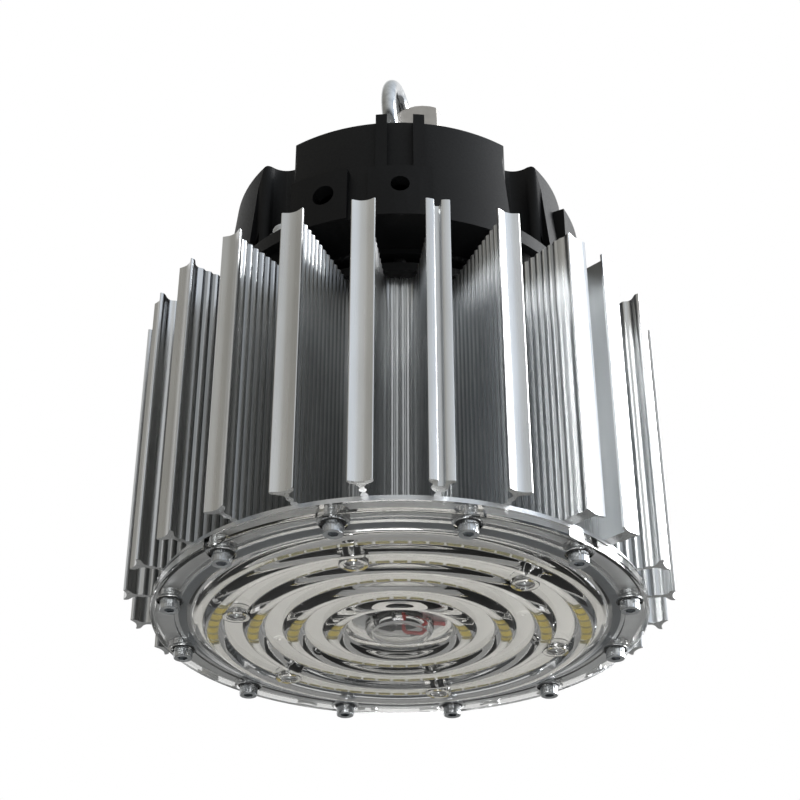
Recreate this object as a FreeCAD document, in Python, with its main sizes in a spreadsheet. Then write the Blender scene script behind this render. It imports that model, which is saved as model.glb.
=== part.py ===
"""LED high bay light: ribbed radial heat sink, ringed clear lens below, driver housing above.

The Z axis is the lamp's axis.  Z = 0 is the plane of the screw heads under the lens, on which
the lamp stands on a bench.  The front, with the two housing ribs, faces -Y.  Millimetres.
"""
import FreeCAD, Part
import math
import os

doc = FreeCAD.newDocument("high_bay_light")

# ---------------------------------------------------------------------------------------------
# Sizes: every independent size is one named cell
# ---------------------------------------------------------------------------------------------
SIZES = [
    # rim screws and lens stack
    ("screw_head_r", 4.25), ("screw_head_h", 5.0), ("screw_shank_r", 2.5), ("screw_socket_af", 4.0),
    ("screw_socket_depth", 2.6), ("rim_screw_pitch_r", 100.6), ("rim_screw_count", 12),
    ("rim_screw_start_deg", 15.0), ("washer_r", 5.0), ("washer_t", 1.0), ("thread_clearance", 0.2),
    ("hole_clearance", 0.3), ("nut_af", 8.0), ("nut_h", 4.0),
    # lens
    ("lens_r", 108.3), ("lens_rim_t", 5.1), ("lens_rim_round", 0.8), ("lens_pocket_depth", 1.5),
    ("lens_pocket_r", 5.8), ("lens_wall", 3.0), ("lens_field_r", 88.0), ("lens_field_drop", 2.2),
    ("lens_step_w", 3.5), ("lens_cavity_r", 89.0), ("lens_core_r", 22.5), ("lens_core_z", 5.6),
    ("lens_core_wall", 1.9), ("dome_r", 15.0), ("dome_bottom_z", 0.3), ("dome_round", 3.6),
    ("ridge_half_w", 4.7), ("ridge_h", 1.6), ("rim_hollow_inner_r", 97.6),
    ("rim_hollow_outer_r", 106.2), ("rim_hollow_depth", 2.6), ("rim_boss_r", 6.6),
    ("boss_r", 6.15), ("boss_bottom_z", 0.4), ("boss_pocket_r", 4.2), ("boss_pocket_depth", 3.2),
    ("boss_pitch_r", 72.05), ("boss_count", 6), ("boss_start_deg", 45.0),
    ("boss_screw_r", 2.0), ("boss_screw_head_r", 3.5), ("boss_screw_head_h", 2.2),
    ("boss_nut_af", 7.0), ("boss_nut_h", 3.2), ("plug_clearance", 0.1),
    # gasket, base plate, LED board
    ("gasket_inner_r", 91.0), ("gasket_outer_r", 96.0), ("gasket_t", 0.5),
    ("base_plate_r", 107.0), ("base_plate_t", 2.2), ("grommet_hole_r", 9.0),
    ("board_r", 87.6), ("board_t", 1.6), ("board_hole_r", 21.0),
    ("led_w", 3.0), ("led_h", 0.7), ("led_pitch", 7.0), ("led_ring_r", 28.8), ("led_ring_step", 17.3),
    ("board_screw_r", 1.5), ("board_screw_head_r", 2.75), ("board_screw_head_h", 1.6),
    ("board_screw_pitch_r", 54.75), ("board_screw_start_deg", 16.0), ("board_screw_count", 6),
    ("board_screw_length", 12.0),
    # heat sink extrusion
    ("fin_h", 134.3), ("fin_tip_r", 120.0), ("fin_count", 24), ("fin_start_deg", 7.5),
    ("core_r", 62.3), ("core_wall", 12.0), ("hub_r", 14.0), ("wire_bore_r", 8.0), ("spoke_t", 6.0),
    ("spoke_count", 6), ("web_t", 3.0), ("groove_depth", 0.75), ("groove_w", 1.7), ("rib_pitch", 3.88),
    ("rib_count", 10), ("first_groove_r", 67.2), ("cap_half_w", 5.15), ("cap_tip_t", 1.3),
    ("cap_root_t", 2.9), ("cap_hollow", 1.0), ("valley_rib_pitch", 2.3), ("valley_rib_h", 0.8),
    ("slot_w", 3.05), ("slot_depth", 4.7), ("slot_boss_half_w", 3.3), ("slot_boss_depth", 6.6),
    ("channel_deg", 45.0), ("channel_half_w", 9.5), ("channel_mouth_half_w", 5.9),
    ("channel_floor_u", 108.5), ("channel_floor_t", 2.6), ("channel_half_outer", 16.1),
    ("channel_lip_t", 1.4), ("channel_face_u", 119.2), ("channel_wall_t", 3.2),
    # mounting plate and spacers
    ("mount_plate_r", 68.0), ("mount_plate_t", 4.5), ("mount_ear_r", 9.0), ("mount_bore_r", 12.0),
    ("plate_screw_r", 2.5), ("plate_screw_head_r", 4.5), ("plate_screw_head_h", 3.5),
    ("plate_screw_length", 18.0), ("lug_pitch_r", 77.0), ("spacer_r", 6.0), ("driver_gap", 11.2),
    # driver housing
    ("housing_top_r", 81.3), ("housing_bottom_r", 87.3), ("housing_h", 60.0), ("housing_wall", 3.5),
    ("housing_floor_t", 3.0), ("housing_floor_hole_r", 52.0), ("housing_edge_round", 1.8),
    ("scallop_r", 9.3), ("scallop_mouth_round", 4.6), ("flange_t", 7.8), ("lug_screw_r", 2.5),
    ("front_rib_x", 8.6), ("front_rib_w", 5.2), ("front_rib_r", 86.4), ("panel_r", 88.9),
    ("panel_top_z", 28.5), ("panel_half_w", 14.6), ("panel_hole_r", 4.35), ("panel_hole_z", 17.6),
    ("side_panel_start_deg", -34.0), ("side_panel_end_deg", -15.6), ("side_hole_deg", -23.0),
    ("side_hole_r", 5.2), ("side_hole_z", 15.7), ("rear_panel_start_deg", 62.0),
    ("rear_panel_end_deg", 100.0), ("rear_panel_top_z", 40.0),
    ("hub_base_r", 34.0), ("hub_top_r", 17.5), ("hub_h", 18.0), ("lug_bolt_r", 6.0),
    # housing base, driver, screws
    ("base_r", 64.0), ("base_t", 3.0), ("neck_r", 34.0), ("neck_wall", 4.0), ("base_gasket_t", 0.4),
    ("base_gasket_w", 4.0), ("base_screw_pitch_r", 57.5), ("base_screw_count", 6),
    ("base_screw_r", 1.5), ("base_screw_head_r", 2.9), ("base_screw_head_h", 2.2),
    ("driver_length", 86.0), ("driver_width", 48.0), ("driver_height", 34.0),
    ("terminal_length", 30.0), ("terminal_width", 14.0), ("terminal_height", 12.0),
    ("lug_head_r", 4.6), ("lug_head_h", 3.4), ("stud_nut_af", 10.0), ("stud_hex_h", 5.5),
    ("stud_dome_r", 4.75), ("stud_dome_h", 6.5), ("stud_deg", -45.0),
    # hanging lug and ring
    ("collar_r", 15.0), ("collar_h", 8.0), ("lug_t", 8.0), ("lug_left_x", -14.0),
    ("lug_right_x", 20.0), ("lug_top_z", 304.7), ("lug_edge_bevel", 2.2), ("eye_x", -2.1),
    ("eye_r", 5.1), ("ring_r", 19.0), ("ring_bar_r", 3.9), ("ring_turn_deg", 10.2),
    ("eye_play", 0.9), ("hanger_nut_af", 18.0), ("hanger_nut_h", 8.0), ("hanger_washer_r", 12.0),
    ("hanger_washer_t", 2.0),
    # wiring
    ("wire_r", 0.9), ("grommet_flange_r", 10.2), ("grommet_t", 1.2), ("grommet_bore_r", 5.0),
    ("wire_bend_z", 3.9), ("wire_gap", 2.4), ("wire_start_r", 2.0),
    ("wire_bend_r", 2.2), ("wire_edge_r", 1.6),
]
sheet = doc.addObject("Spreadsheet::Sheet", "Sizes")
for row, (alias, number) in enumerate(SIZES, start=1):
    sheet.set("A%d" % row, alias)
    sheet.set("B%d" % row, str(number))
    sheet.setAlias("B%d" % row, alias)
doc.recompute()
size = {alias: float(getattr(sheet, alias)) for alias, _ in SIZES}

# Levels that follow from the stack, as cells with formulas
LEVELS = [
    ("seat_z", "screw_head_h + washer_t"),
    ("rim_bottom_z", "seat_z - lens_pocket_depth"),
    ("rim_top_z", "rim_bottom_z + lens_rim_t"),
    ("plate_z", "rim_top_z + gasket_t"),
    ("fin_z", "plate_z + base_plate_t"),
    ("board_z", "plate_z - board_t"),
    ("field_z", "rim_bottom_z - lens_field_drop"),
    ("sink_top_z", "fin_z + fin_h"),
    ("mount_top_z", "sink_top_z + mount_plate_t"),
    ("housing_z", "mount_top_z + driver_gap"),
    ("housing_top_z", "housing_z + housing_h"),
    ("hub_top_z", "housing_top_z + hub_h"),
    ("base_top_z", "housing_z - base_gasket_t"),
    ("base_bottom_z", "base_top_z - base_t"),
]
for row, (alias, formula) in enumerate(LEVELS, start=len(SIZES) + 1):
    cells = {name: "B%d" % (index + 1) for index, (name, _) in enumerate(SIZES + LEVELS)}
    text = " ".join(cells.get(word, word) for word in formula.split())
    sheet.set("A%d" % row, alias)
    sheet.set("B%d" % row, "=" + text)
    sheet.setAlias("B%d" % row, alias)
doc.recompute()
size.update({alias: float(getattr(sheet, alias)) for alias, _ in LEVELS})


# ---------------------------------------------------------------------------------------------
# Helpers
# ---------------------------------------------------------------------------------------------
def bind(obj, prop, formula):
    """Bind one property to a formula in which each name is a cell of the sheet."""
    words = ["Sizes." + word if word in size else word for word in formula.split()]
    obj.setExpression(prop, " ".join(words))
    return obj


def cylinder(name, radius, height, base):
    obj = doc.addObject("Part::Cylinder", name)
    bind(obj, "Radius", radius)
    bind(obj, "Height", height)
    return bind(obj, "Placement.Base.z", base)


def cone(name, lower, upper, height, base):
    obj = doc.addObject("Part::Cone", name)
    bind(obj, "Radius1", lower)
    bind(obj, "Radius2", upper)
    bind(obj, "Height", height)
    return bind(obj, "Placement.Base.z", base)


def hexagon(name, across_flats, height, base):
    obj = doc.addObject("Part::Prism", name)
    obj.Polygon = 6
    bind(obj, "Circumradius", across_flats + " / 1.7320508")
    bind(obj, "Height", height)
    return bind(obj, "Placement.Base.z", base)


def box(name, length, width, height, base):
    """A box centred on the axis."""
    obj = doc.addObject("Part::Box", name)
    bind(obj, "Length", length)
    bind(obj, "Width", width)
    bind(obj, "Height", height)
    bind(obj, "Placement.Base.x", "0 - " + length + " / 2")
    bind(obj, "Placement.Base.y", "0 - " + width + " / 2")
    return bind(obj, "Placement.Base.z", base)


def cut(name, base, tool):
    obj = doc.addObject("Part::Cut", name)
    obj.Base = base
    obj.Tool = tool
    return obj


def fuse(name, parts):
    obj = doc.addObject("Part::MultiFuse", name)
    obj.Shapes = parts
    obj.Refine = True
    return obj


def common(name, parts):
    obj = doc.addObject("Part::MultiCommon", name)
    obj.Shapes = parts
    return obj


def section(name, wires):
    """A flat face from closed wires: the first is the outline, the others are its holes."""
    obj = doc.addObject("Part::Feature", name)
    obj.Shape = Part.Face(wires)
    return obj


def extrude(name, profile, height, base):
    obj = doc.addObject("Part::Extrusion", name)
    obj.Base = profile
    obj.DirMode = "Custom"
    obj.Dir = FreeCAD.Vector(0, 0, 1)
    bind(obj, "LengthFwd", height)
    obj.Solid = True
    return bind(obj, "Placement.Base.z", base)


def revolve(name, profile):
    obj = doc.addObject("Part::Revolution", name)
    obj.Source = profile
    obj.Axis = FreeCAD.Vector(0, 0, 1)
    obj.Angle = 360
    obj.Solid = True
    return obj


def compass(degrees):
    """Unit vectors outward and along the rim at an angle counted from the front, towards +X."""
    turn = math.radians(degrees)
    outward = FreeCAD.Vector(math.sin(turn), -math.cos(turn), 0)
    along = FreeCAD.Vector(math.cos(turn), math.sin(turn), 0)
    return outward, along


def ring_of(name, master, count, radius, start):
    """Copies of one solid on a circle; each is turned to face outward."""
    doc.recompute()
    copies = []
    for index in range(int(round(count))):
        angle = start + index * 360.0 / round(count)
        outward, _ = compass(angle)
        copy = master.Shape.copy()
        place = FreeCAD.Placement(outward * radius, FreeCAD.Rotation(FreeCAD.Vector(0, 0, 1), angle))
        copy.Placement = place.multiply(copy.Placement)
        copies.append(copy)
    obj = doc.addObject("Part::Feature", name)
    obj.Shape = Part.makeCompound(copies)
    return obj


def rz_wire(points):
    """A closed wire in the XZ plane; a point with a third value ends an arc through it."""
    edges = []
    vectors = [FreeCAD.Vector(point[0], 0, point[1]) for point in points]
    for index, point in enumerate(points):
        start = vectors[index]
        end = vectors[(index + 1) % len(points)]
        if len(point) == 3:
            middle = FreeCAD.Vector(point[2][0], 0, point[2][1])
            edges.append(Part.Arc(start, middle, end).toShape())
        else:
            edges.append(Part.makeLine(start, end))
    return Part.Wire(edges)


def polygon(points):
    """Closed wire in the XY plane, always counter-clockwise."""
    area = sum(a.x * b.y - b.x * a.y for a, b in zip(points, points[1:] + points[:1]))
    ordered = points if area > 0 else points[::-1]
    return Part.makePolygon(ordered + [ordered[0]])


nodes = {}


def node(name, obj):
    obj.Label = name
    nodes[name] = obj
    return obj


# ---------------------------------------------------------------------------------------------
# Heat sink: one extrusion with fins, caps, a screw slot and a T channel
# ---------------------------------------------------------------------------------------------
def fin_side(side, last_radius):
    """Grooved side of a web from the core outwards, as (radius, offset) pairs."""
    half = size["web_t"] / 2
    deep = half - size["groove_depth"]
    points = []
    for index in range(int(size["rib_count"]) + 1):
        middle = size["first_groove_r"] + index * size["rib_pitch"]
        if middle + size["groove_w"] < last_radius:
            points.append((middle - size["groove_w"] / 2, side * half))
            points.append((middle, side * deep))
            points.append((middle + size["groove_w"] / 2, side * half))
    return points


def cap_side(side):
    """Half of a fin's cap, from the web to the tip, as (radius, offset) pairs."""
    tip = size["fin_tip_r"]
    width = size["cap_half_w"]
    half = size["web_t"] / 2
    root = tip - size["cap_hollow"] - size["cap_root_t"]
    return [(root - 1.2, side * half), (root, side * (half + 0.6)),
            (root + 1.0, side * (half + 1.9)), (tip - size["cap_tip_t"], side * width),
            (tip, side * width)]


def slot_side(side):
    """Half of the capped fin with the screw slot: a fuller boss behind the slot."""
    tip = size["fin_tip_r"]
    width = size["cap_half_w"]
    half = size["web_t"] / 2
    boss = size["slot_boss_half_w"]
    back = tip - size["slot_boss_depth"]
    slot = size["slot_w"] / 2
    return [(back - 1.2, side * half), (back, side * boss * 0.75), (back + 1.6, side * boss),
            (tip - size["cap_tip_t"] - 1.2, side * boss), (tip - size["cap_tip_t"], side * width),
            (tip, side * width), (tip - 0.4, side * slot), (tip - size["slot_depth"], side * slot)]


def plain_fin():
    last = size["fin_tip_r"] - size["cap_hollow"] - size["cap_root_t"] - 1.5
    left = fin_side(-1, last) + cap_side(-1)
    right = fin_side(1, last) + cap_side(1)
    dish = [(size["fin_tip_r"] - size["cap_hollow"] * 0.75, -size["cap_half_w"] * 0.5),
            (size["fin_tip_r"] - size["cap_hollow"], 0),
            (size["fin_tip_r"] - size["cap_hollow"] * 0.75, size["cap_half_w"] * 0.5)]
    return left + dish + right[::-1]


def slotted_fin():
    last = size["fin_tip_r"] - size["slot_boss_depth"] - 1.5
    return fin_side(-1, last) + slot_side(-1) + slot_side(1)[::-1] + fin_side(1, last)[::-1]


def channel_fin(side):
    """Web of a fin that ends in the T channel's floor."""
    last = size["channel_floor_u"] - size["channel_floor_t"]
    end = size["channel_floor_u"] / math.cos(math.radians(size["fin_start_deg"])) - 0.6
    half = size["web_t"] / 2
    return fin_side(-1, last) + [(end, -half), (end, half)] + fin_side(1, last)[::-1]


def placed(points, degrees):
    outward, along = compass(degrees)
    return [outward * radius + along * offset for radius, offset in points]


def channel_outline(degrees):
    """T channel for the mounting bracket: floor, straight walls, and lips at the mouth."""
    floor = size["channel_floor_u"]
    face = size["channel_face_u"]
    inner = size["channel_half_w"]
    outer = size["channel_half_outer"]
    mouth = size["channel_mouth_half_w"]
    lip = size["channel_lip_t"]
    wall = inner + size["channel_wall_t"]
    back = floor - size["channel_floor_t"]
    half = [(back, wall + 1.0), (face - 5.2, wall), (face - 3.4, wall + 0.7),
            (face - lip - 0.4, outer), (face, outer), (face - 0.7, (outer + mouth) / 2),
            (face + 0.5, mouth), (face + 0.5 - lip, mouth), (face - lip - 1.6, inner),
            (floor, inner)]
    mirrored = [(u, -v) for u, v in half[::-1]]
    return polygon(placed(half + mirrored, degrees))


def core_outline():
    """Core between the fins: a shallow valley with a few low ribs in each."""
    step = 360.0 / size["fin_count"]
    points = []
    for index in range(int(size["fin_count"])):
        middle = size["fin_start_deg"] + (index + 0.5) * step
        outward, along = compass(middle)
        valley = size["core_r"]
        for rib in (-2, -1, 0, 1, 2):
            centre = rib * size["valley_rib_pitch"]
            points.append(outward * valley + along * (centre - 0.7))
            points.append(outward * (valley + size["valley_rib_h"]) + along * centre)
        points.append(outward * valley + along * (2 * size["valley_rib_pitch"] + 0.7))
    return polygon(points)


def root_fillet(degrees, side):
    """Curved foot where a web meets the core."""
    outward, along = compass(degrees)
    half = size["web_t"] / 2
    low = size["core_r"] - 1.0
    corners = [(low, side * (half - 0.5)), (low, side * (half + 2.6)), (size["core_r"] + 0.2, side * (half + 1.9)),
               (size["core_r"] + 1.6, side * (half + 0.7)), (size["core_r"] + 3.4, side * half),
               (size["core_r"] + 3.4, side * (half - 0.5))]
    return Part.Face(polygon([outward * u + along * v for u, v in corners]))


def heat_sink_face():
    """The whole cross section: fins, caps, slots and channels fused in the plane."""
    step = 360.0 / size["fin_count"]
    foot = [(size["core_r"] - 3.0, -size["web_t"] / 2)]
    foot_back = [(size["core_r"] - 3.0, size["web_t"] / 2)]
    pieces = []
    for index in range(int(size["fin_count"])):
        degrees = size["fin_start_deg"] + index * step
        if degrees > 180:
            degrees -= 360
        from_channel = (degrees - size["channel_deg"] + 90) % 180 - 90
        if abs(abs(from_channel) - step / 2) < 0.01:
            outline = channel_fin(1)
        elif abs((degrees - size["fin_start_deg"]) % 180) < 0.01:
            outline = slotted_fin()
        else:
            outline = plain_fin()
        pieces.append(Part.Face(polygon(placed(foot + outline + foot_back, degrees))))
        pieces.append(root_fillet(degrees, 1))
        pieces.append(root_fillet(degrees, -1))
    for degrees in (size["channel_deg"], size["channel_deg"] + 180):
        pieces.append(Part.Face(channel_outline(degrees)))
    core = Part.Face(core_outline())
    whole = core.fuse(pieces).removeSplitter()
    return whole


def chamber_outline(index):
    """One of the hollows between the spokes of the core."""
    step = 360.0 / size["spoke_count"]
    outer = size["core_r"] - size["core_wall"]
    inner = size["hub_r"]
    half = size["spoke_t"] / 2
    middle = (index + 0.5) * step
    start = math.degrees(math.asin(half / outer))
    start_in = math.degrees(math.asin(half / inner))
    low_out = compass(index * step + start)[0] * outer
    mid_out = compass(middle)[0] * outer
    high_out = compass((index + 1) * step - start)[0] * outer
    low_in = compass(index * step + start_in)[0] * inner
    mid_in = compass(middle)[0] * inner
    high_in = compass((index + 1) * step - start_in)[0] * inner
    return Part.Wire([Part.Arc(low_out, mid_out, high_out).toShape(), Part.makeLine(high_out, high_in),
                      Part.Arc(high_in, mid_in, low_in).toShape(), Part.makeLine(low_in, low_out)])


def round_port(radius, pitch_radius, degrees):
    """Disc of a bore or screw port that runs the whole length of the extrusion."""
    centre = compass(degrees)[0] * pitch_radius
    return Part.Face(Part.Wire(Part.makeCircle(radius, centre)))


def build_heat_sink():
    profile = doc.addObject("Part::Feature", "heat_sink_section")
    face = heat_sink_face()
    hollows = [Part.Face(chamber_outline(index)) for index in range(int(size["spoke_count"]))]
    hollows.append(round_port(size["wire_bore_r"], 0.0, 0.0))
    for index in range(6):
        turn = index * 60.0
        hollows.append(round_port(size["board_screw_r"] + size["thread_clearance"],
                                  size["board_screw_pitch_r"], size["board_screw_start_deg"] + turn))
        hollows.append(round_port(size["plate_screw_r"] + size["thread_clearance"],
                                  size["board_screw_pitch_r"], turn))
    profile.Shape = face.cut(Part.makeCompound(hollows))
    node("heat_sink", extrude("heat_sink", profile, "fin_h", "fin_z"))


# ---------------------------------------------------------------------------------------------
# Lens
# ---------------------------------------------------------------------------------------------
def ridge_radii():
    return [size["led_ring_r"] + index * size["led_ring_step"] for index in range(4)]


def lens_profile():
    """Half section of the lens: dome, centre well, four ridges, step and rim."""
    field = size["field_z"]
    core_z = size["lens_core_z"]
    dome = size["dome_r"]
    bottom = size["dome_bottom_z"]
    round_r = size["dome_round"]
    knee = round_r * (1 - math.sqrt(0.5))
    half = size["ridge_half_w"]
    points = [(0, bottom), (dome - round_r, bottom, (dome - knee, bottom + knee)),
              (dome, bottom + round_r), (dome, core_z), (size["lens_core_r"], core_z),
              (size["lens_core_r"] + 1.0, field)]
    for radius in ridge_radii():
        points.append((radius - half, field, (radius, field - size["ridge_h"])))
        points.append((radius + half, field))
    rim = size["lens_r"]
    step = size["lens_field_r"] + size["lens_step_w"]
    ease = size["lens_rim_round"]
    ceiling = field + size["lens_wall"]
    well = core_z + size["lens_core_wall"]
    inner = size["lens_core_r"] - size["lens_core_wall"]
    dome_in = dome - size["lens_core_wall"]
    points += [(size["lens_field_r"], field), (step, size["rim_bottom_z"]),
               (rim - ease, size["rim_bottom_z"]), (rim, size["rim_bottom_z"] + ease),
               (rim, size["rim_top_z"]), (size["lens_cavity_r"], size["rim_top_z"]),
               (size["lens_cavity_r"], ceiling), (size["lens_core_r"] + 2.0, ceiling),
               (inner + 2.0, well), (dome_in, well), (dome_in, bottom + size["lens_core_wall"]),
               (0, bottom + size["lens_core_wall"])]
    return rz_wire(points)


def build_lens():
    body = revolve("lens_body", section("lens_section", [lens_profile()]))
    field_up = "board_z - boss_bottom_z - 0.2"
    boss = ring_of("lens_bosses", cylinder("lens_boss", "boss_r", field_up, "boss_bottom_z"),
                   size["boss_count"], size["boss_pitch_r"], size["boss_start_deg"])
    whole = fuse("lens_with_bosses", [body, boss])
    hollow_out = cylinder("rim_hollow_outer", "rim_hollow_outer_r", "rim_hollow_depth",
                          "rim_top_z - rim_hollow_depth")
    hollow_in = cylinder("rim_hollow_inner", "rim_hollow_inner_r", "rim_hollow_depth",
                         "rim_top_z - rim_hollow_depth")
    posts = ring_of("rim_posts", cylinder("rim_post", "rim_boss_r", "rim_hollow_depth",
                                          "rim_top_z - rim_hollow_depth"),
                    size["rim_screw_count"], size["rim_screw_pitch_r"], size["rim_screw_start_deg"])
    hollow = cut("rim_hollows", cut("rim_hollow_ring", hollow_out, hollow_in), posts)
    start = size["rim_screw_start_deg"]
    pockets = ring_of("rim_pockets", cylinder("rim_pocket", "lens_pocket_r", "lens_pocket_depth + 1",
                                              "rim_bottom_z - 1"),
                      size["rim_screw_count"], size["rim_screw_pitch_r"], start)
    holes = ring_of("rim_holes", cylinder("rim_hole", "screw_shank_r + hole_clearance",
                                          "lens_rim_t + 2", "rim_bottom_z - 1"),
                    size["rim_screw_count"], size["rim_screw_pitch_r"], start)
    wells = ring_of("boss_wells", cylinder("boss_well", "boss_pocket_r", "boss_pocket_depth + 1",
                                           "boss_bottom_z - 1"),
                    size["boss_count"], size["boss_pitch_r"], size["boss_start_deg"])
    bores = ring_of("boss_bores", cylinder("boss_bore", "boss_screw_r + hole_clearance", "plate_z",
                                           "boss_bottom_z"),
                    size["boss_count"], size["boss_pitch_r"], size["boss_start_deg"])
    heads = ring_of("boss_head_wells",
                    cylinder("boss_head_well", "boss_screw_head_r + hole_clearance",
                             "boss_pocket_depth + boss_screw_head_h", "boss_bottom_z"),
                    size["boss_count"], size["boss_pitch_r"], size["boss_start_deg"])
    lens = whole
    for index, tool in enumerate((hollow, pockets, holes, wells, bores, heads)):
        lens = cut("lens_cut_%d" % index, lens, tool)
    node("lens", lens)


# ---------------------------------------------------------------------------------------------
# Fasteners
# ---------------------------------------------------------------------------------------------
def socket_screw(name, head_r, head_h, socket_af, socket_depth, shank_r, length):
    """Cap screw pointing up, its head on Z = 0."""
    head = cylinder(name + "_head", head_r, head_h, "0")
    shank = cylinder(name + "_shank", shank_r, length, head_h)
    socket = hexagon(name + "_socket", socket_af, socket_depth + " + 1", "0 - 1")
    return cut(name + "_screw", fuse(name + "_blank", [head, shank]), socket)


def pan_screw(name, head_r, head_h, shank_r, length, base, down=False):
    """Round headed screw; its head's seat is at base and its shank points up or down."""
    head = doc.addObject("Part::Cone", name + "_head")
    shank = doc.addObject("Part::Cylinder", name + "_shank")
    bind(shank, "Radius", shank_r)
    bind(shank, "Height", length)
    bind(head, "Height", head_h)
    if down:
        bind(head, "Radius1", head_r)
        bind(head, "Radius2", head_r + " * 0.72")
        bind(head, "Placement.Base.z", base)
        bind(shank, "Placement.Base.z", base + " - ( " + length + " )")
    else:
        bind(head, "Radius1", head_r + " * 0.72")
        bind(head, "Radius2", head_r)
        bind(head, "Placement.Base.z", base + " - " + head_h)
        bind(shank, "Placement.Base.z", base)
    return fuse(name + "_screw", [head, shank])


def hex_nut(name, across_flats, height, bore, base):
    blank = hexagon(name + "_blank", across_flats, height, base)
    return cut(name + "_nut", blank, cylinder(name + "_bore", bore, height + " + 2", base + " - 1"))


def washer(name, outer, inner, thickness, base):
    disc = cylinder(name + "_disc", outer, thickness, base)
    return cut(name + "_washer", disc, cylinder(name + "_eye", inner, thickness + " + 2", base + " - 1"))


def build_lens_fasteners():
    count = size["rim_screw_count"]
    radius = size["rim_screw_pitch_r"]
    start = size["rim_screw_start_deg"]
    reach = "fin_z + nut_h + 1 - screw_head_h"
    screw = socket_screw("rim", "screw_head_r", "screw_head_h", "screw_socket_af",
                         "screw_socket_depth", "screw_shank_r", reach)
    node("rim_screws", ring_of("rim_screws", screw, count, radius, start))
    seal = washer("rim", "washer_r", "screw_shank_r + thread_clearance", "washer_t", "screw_head_h")
    node("rim_washers", ring_of("rim_washers", seal, count, radius, start))
    nut = hex_nut("rim", "nut_af", "nut_h", "screw_shank_r + thread_clearance", "fin_z")
    node("rim_nuts", ring_of("rim_nuts", nut, count, radius, start))

    count = size["boss_count"]
    radius = size["boss_pitch_r"]
    start = size["boss_start_deg"]
    seat = "boss_bottom_z + boss_pocket_depth + boss_screw_head_h"
    screw = pan_screw("boss", "boss_screw_head_r", "boss_screw_head_h", "boss_screw_r",
                      "fin_z + boss_nut_h + 1 - boss_bottom_z - boss_pocket_depth - boss_screw_head_h", seat)
    node("boss_screws", ring_of("boss_screws", screw, count, radius, start))
    nut = hex_nut("boss", "boss_nut_af", "boss_nut_h", "boss_screw_r + thread_clearance", "fin_z")
    node("boss_nuts", ring_of("boss_nuts", nut, count, radius, start))
    plug = cylinder("boss_plug", "boss_pocket_r - plug_clearance", "boss_pocket_depth - 0.2",
                    "boss_bottom_z + 0.2")
    node("boss_plugs", ring_of("boss_plugs", plug, count, radius, start))

    screw = pan_screw("board", "board_screw_head_r", "board_screw_head_h", "board_screw_r",
                      "board_screw_length", "board_z")
    node("board_screws", ring_of("board_screws", screw, size["board_screw_count"],
                                 size["board_screw_pitch_r"], size["board_screw_start_deg"]))
    screw = pan_screw("plate", "plate_screw_head_r", "plate_screw_head_h", "plate_screw_r",
                      "plate_screw_length", "mount_top_z", down=True)
    node("plate_screws", ring_of("plate_screws", screw, 6, size["board_screw_pitch_r"], 0.0))


# ---------------------------------------------------------------------------------------------
# Gasket, base plate, LED board and LEDs
# ---------------------------------------------------------------------------------------------
def drilled_disc(name, outer, inner, thickness, base, circles):
    """Disc with a centre hole and circles of holes: (radius, pitch radius, count, start)."""
    disc = cut(name + "_ring", cylinder(name + "_disc", outer, thickness, base),
               cylinder(name + "_hole", inner, thickness + " + 2", base + " - 1"))
    for index, (hole, pitch, count, start) in enumerate(circles):
        drill = cylinder("%s_drill_%d" % (name, index), hole, thickness + " + 2", base + " - 1")
        disc = cut("%s_drilled_%d" % (name, index), disc,
                   ring_of("%s_drills_%d" % (name, index), drill, count, pitch, start))
    return disc


def build_light_engine():
    board_holes = ("board_screw_r + thread_clearance", size["board_screw_pitch_r"],
                   size["board_screw_count"], size["board_screw_start_deg"])
    boss_holes = ("boss_screw_r + hole_clearance", size["boss_pitch_r"], size["boss_count"],
                  size["boss_start_deg"])
    rim_holes = ("screw_shank_r + hole_clearance", size["rim_screw_pitch_r"],
                 size["rim_screw_count"], size["rim_screw_start_deg"])
    node("lens_gasket", drilled_disc("lens_gasket", "gasket_outer_r", "gasket_inner_r", "gasket_t",
                                     "rim_top_z", []))
    node("base_plate", drilled_disc("base_plate", "base_plate_r", "grommet_hole_r", "base_plate_t",
                                    "plate_z", [board_holes, boss_holes, rim_holes]))
    node("led_board", drilled_disc("led_board", "board_r", "board_hole_r", "board_t", "board_z",
                                   [board_holes, boss_holes]))
    for index, radius in enumerate(ridge_radii(), start=1):
        led = box("led_%d" % index, "led_w", "led_w", "led_h", "board_z - led_h")
        count = 2 * round(math.pi * radius / size["led_pitch"])
        node("led_ring_%d" % index, ring_of("led_ring_%d" % index, led, count, radius, 0.0))


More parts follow.
